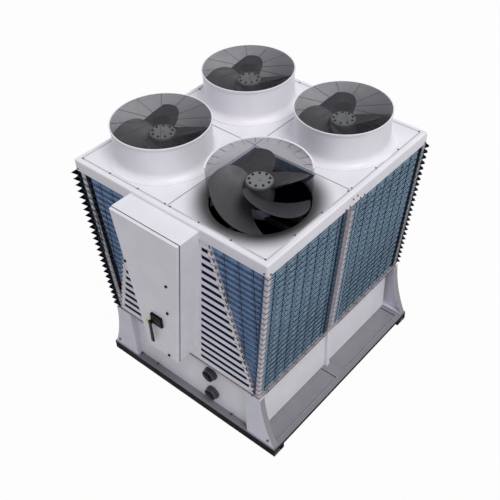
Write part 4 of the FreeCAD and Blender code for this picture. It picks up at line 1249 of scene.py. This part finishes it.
@dataclass(frozen=True)
class CabinetTrim:
    """Gasket between cabinet and cover, slots of the locks, frame of the switch and the lever's grip."""

    top_half: float = 0.340
    foot_half: float = 0.160
    top_z: float = 2.113
    foot_z: float = 0.792
    joint_y: float = -1.161
    locks: tuple[Pair, ...] = ((-0.264, 1.645), (0.162, 1.640), (0.131, 1.340),
                                              (0.072, 0.825))
    gasket_proud: float = 0.0006
    gasket_depth: float = 0.003
    cover_y: float = -1.185
    bar_reach: float = 0.008
    bar_half: Triple = (0.0085, 0.0, 0.0022)
    bar_depth: Triple = (0.0, 0.002, 0.0)
    bezel_reach: Pair = (0.0225, 0.020)
    pivot: Pair = (-0.060, 1.138)
    lever_y: float = -1.216
    lever_sides: int = 24
    squareness: float = 0.55

    def gasket(self) -> Shape:
        """A band round the tapered outline, in the joint behind the cover."""
        proud = self.gasket_proud
        outline = np.array([[-self.foot_half - proud, self.foot_z - proud],
                            [self.foot_half + proud, self.foot_z - proud],
                            [self.top_half + proud, self.top_z + proud],
                            [-self.top_half - proud, self.top_z + proud]])
        ys = np.array([[self.joint_y + self.gasket_depth], [self.joint_y]])
        return capped(spread(outline[:, 0], ys, outline[:, 1]))

    def slots(self) -> Shape:
        """A raised key bar across each turn lock."""
        places = np.array([[x, self.cover_y - self.bar_reach, z] for x, z in self.locks])
        return boxes(places - self.bar_half - np.array(self.bar_depth), places + self.bar_half)

    def bezel(self) -> Shape:
        """Raised frame and window bar on the switch body."""
        y0, y1 = (self.cover_y - reach for reach in self.bezel_reach)
        return boxes([[-0.0535, y0, 1.228], [-0.0535, y0, 1.138], [-0.0535, y0, 1.138], [0.0495, y0, 1.138],
                      [-0.030, y0, 1.188]],
                     [[0.0535, y1, 1.232], [0.0535, y1, 1.142], [-0.0495, y1, 1.232], [0.0535, y1, 1.232],
                      [0.030, y1, 1.206]])

    def lever(self) -> Shape:
        """Grip that swells towards its end. Its sections are rounded squares: |cos t| and |sin t|, both to
        the power of the squareness, times the half-width and half-depth at each distance down."""
        down = np.array([0.022, 0.019, 0.008, -0.006, -0.030, -0.110, -0.190, -0.206, -0.213, -0.215])
        half_width = np.array([0.006, 0.013, 0.018, 0.018, 0.0150, 0.0155, 0.0175, 0.0170, 0.013, 0.007])
        half_depth = np.array([0.004, 0.0055, 0.006, 0.006, 0.0055, 0.0055, 0.006, 0.006, 0.005, 0.003])
        turn = np.arange(self.lever_sides) * 2 * math.pi / self.lever_sides
        x, y = (np.sign(wave) * np.abs(wave) ** self.squareness for wave in (np.cos(turn), np.sin(turn)))
        order = np.argsort(down)
        return capped(spread(self.pivot[0] + half_width[order][:, None] * x,
                             self.lever_y + half_depth[order][:, None] * y,
                             self.pivot[1] + down[order][:, None]))

    def build(self, paints: Paintbox) -> None:
        """Makes the trim, with the lever on its own body."""
        paints.make_piece("cover_gasket", self.gasket(), FOAM)
        paints.make_piece("lock_bars", self.slots(), BLACK_BOLT)
        paints.make_piece("switch_bezel", self.bezel(), BLACK_PLASTIC)
        paints.make_piece("switch_lever", self.lever(), BLACK_PLASTIC, "lever",
                          ("isolator_lever",))


@dataclass(frozen=True)
class Studio:
    """White floor and backdrop, soft daylight from the upper right, and the camera of the photograph."""

    sun_towards: Triple = (0.94, -0.25, 1.57)
    sun_strength: float = 1.84
    sun_angle: float = 28.0
    sun_colour: Triple = (1.0, 0.985, 0.965)
    ambient: Colour = (0.93, 0.95, 1.0, 1.0)
    ambient_strength: float = 0.5
    floor_half: float = 60.0
    floor_glow: float = 0.97
    floor_paint: Colour = (0.38, 0.38, 0.38, 1.0)
    camera_place: Triple = (3.4024, -3.7457, 5.6721)
    camera_yaw: float = -38.3131
    camera_pitch: float = 41.3952
    lens: float = 57.38
    sensor_width: float = 36.0
    clip_end: float = 300.0
    shift: Pair = (-0.1001, -0.0300)

    def seen(self, graph: Graph) -> Socket:
        """1 for rays that show the backdrop itself: camera, mirror and see-through rays."""
        path = graph.node("LightPath")
        shown = graph.maths("MAXIMUM", path.outputs["Is Camera Ray"], path.outputs["Is Glossy Ray"])
        return graph.maths("MAXIMUM", shown, path.outputs["Is Transmission Ray"])

    def world(self) -> None:
        """White where it is seen, and a plain faintly blue light everywhere else."""
        world = bpy.data.worlds.new("studio")
        graph = Graph(world)
        light = graph.node("Background", {"Color": self.ambient, "Strength": self.ambient_strength})
        white = graph.node("Background", {"Color": WHITE, "Strength": 1.0})
        mixed = graph.node("MixShader", {0: self.seen(graph), 1: light.outputs[0], 2: white.outputs[0]})
        graph.node("OutputWorld", {"Surface": mixed.outputs[0]})
        bpy.context.scene.world = world

    def floor(self) -> None:
        """Wide floor at the unit's foot: plain white paint that glows for the rays that show it."""
        half = self.floor_half
        mesh = bpy.data.meshes.new("studio_floor")
        mesh.from_pydata([(-half, -half, 0.0), (half, -half, 0.0), (half, half, 0.0), (-half, half, 0.0)],
                         [], [(0, 1, 2, 3)])
        material = bpy.data.materials.new("studio_floor_paint")
        graph = Graph(material)
        paint = graph.node("BsdfDiffuse", {"Color": self.floor_paint})
        glow = graph.node("Emission", {"Color": WHITE, "Strength": 1.0})
        share = graph.maths("MULTIPLY", self.seen(graph), self.floor_glow)
        mixed = graph.node("MixShader", {0: share, 1: paint.outputs[0], 2: glow.outputs[0]})
        graph.node("OutputMaterial", {"Surface": mixed.outputs[0]})
        mesh.materials.append(material)
        floor = add_object("studio_floor", mesh)

    def sun(self) -> None:
        """One wide, soft sun from the upper right front."""
        lamp = bpy.data.lights.new("studio_sun", "SUN")
        lamp.energy = self.sun_strength
        lamp.angle = math.radians(self.sun_angle)
        lamp.color = self.sun_colour
        x, y, z = self.sun_towards
        turn = (math.atan2(math.hypot(x, y), z), 0.0, math.atan2(x, -y))
        add_object("studio_sun", lamp).rotation_euler = turn

    def camera(self) -> None:
        """The camera that the photograph's edges gave."""
        data = bpy.data.cameras.new("photo_camera")
        data.sensor_fit = "HORIZONTAL"
        data.sensor_width = self.sensor_width
        data.lens = self.lens
        data.shift_x, data.shift_y = self.shift
        data.clip_end = self.clip_end
        camera = add_object("photo_camera", data)
        camera.location = self.camera_place
        camera.rotation_euler = (math.radians(90 - self.camera_pitch), 0.0, -math.radians(self.camera_yaw))
        bpy.context.scene.camera = camera

    def build(self) -> None:
        """Makes the whole studio."""
        bpy.context.scene.view_settings.view_transform = "Standard"
        self.world()
        self.floor()
        self.sun()
        self.camera()
        LOG.info("studio ready")


def dress_frame(paints: Paintbox) -> None:
    """Puts its finish on every CAD node that stays."""
    finishes = dict(NODE_FINISHES)
    for bay in WHOLE_BAYS:
        finishes["deck_panel_" + bay.label] = ENAMEL
        finishes["fan_stack_" + bay.label] = ENAMEL
    for node, finish in finishes.items():
        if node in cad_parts:
            paints.dress_node(node, finish)


def main() -> None:
    """Builds the looks round the frame, piece by piece."""
    logging.basicConfig(level=logging.INFO, format="%(name)s: %(message)s")
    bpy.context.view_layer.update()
    paints = Paintbox()
    dress_frame(paints)
    for bay in Bay:
        FanRotor(bay).build(paints)
        WireGrille(bay).build(paints)
    GuardWires().build(paints)
    CoilTrim().build(paints)
    DeckSeams().build(paints)
    TrayTrim().build(paints)
    Fasteners().build(paints)
    CabinetTrim().build(paints)
    Studio().build()


if __name__ == "__main__":
    main()
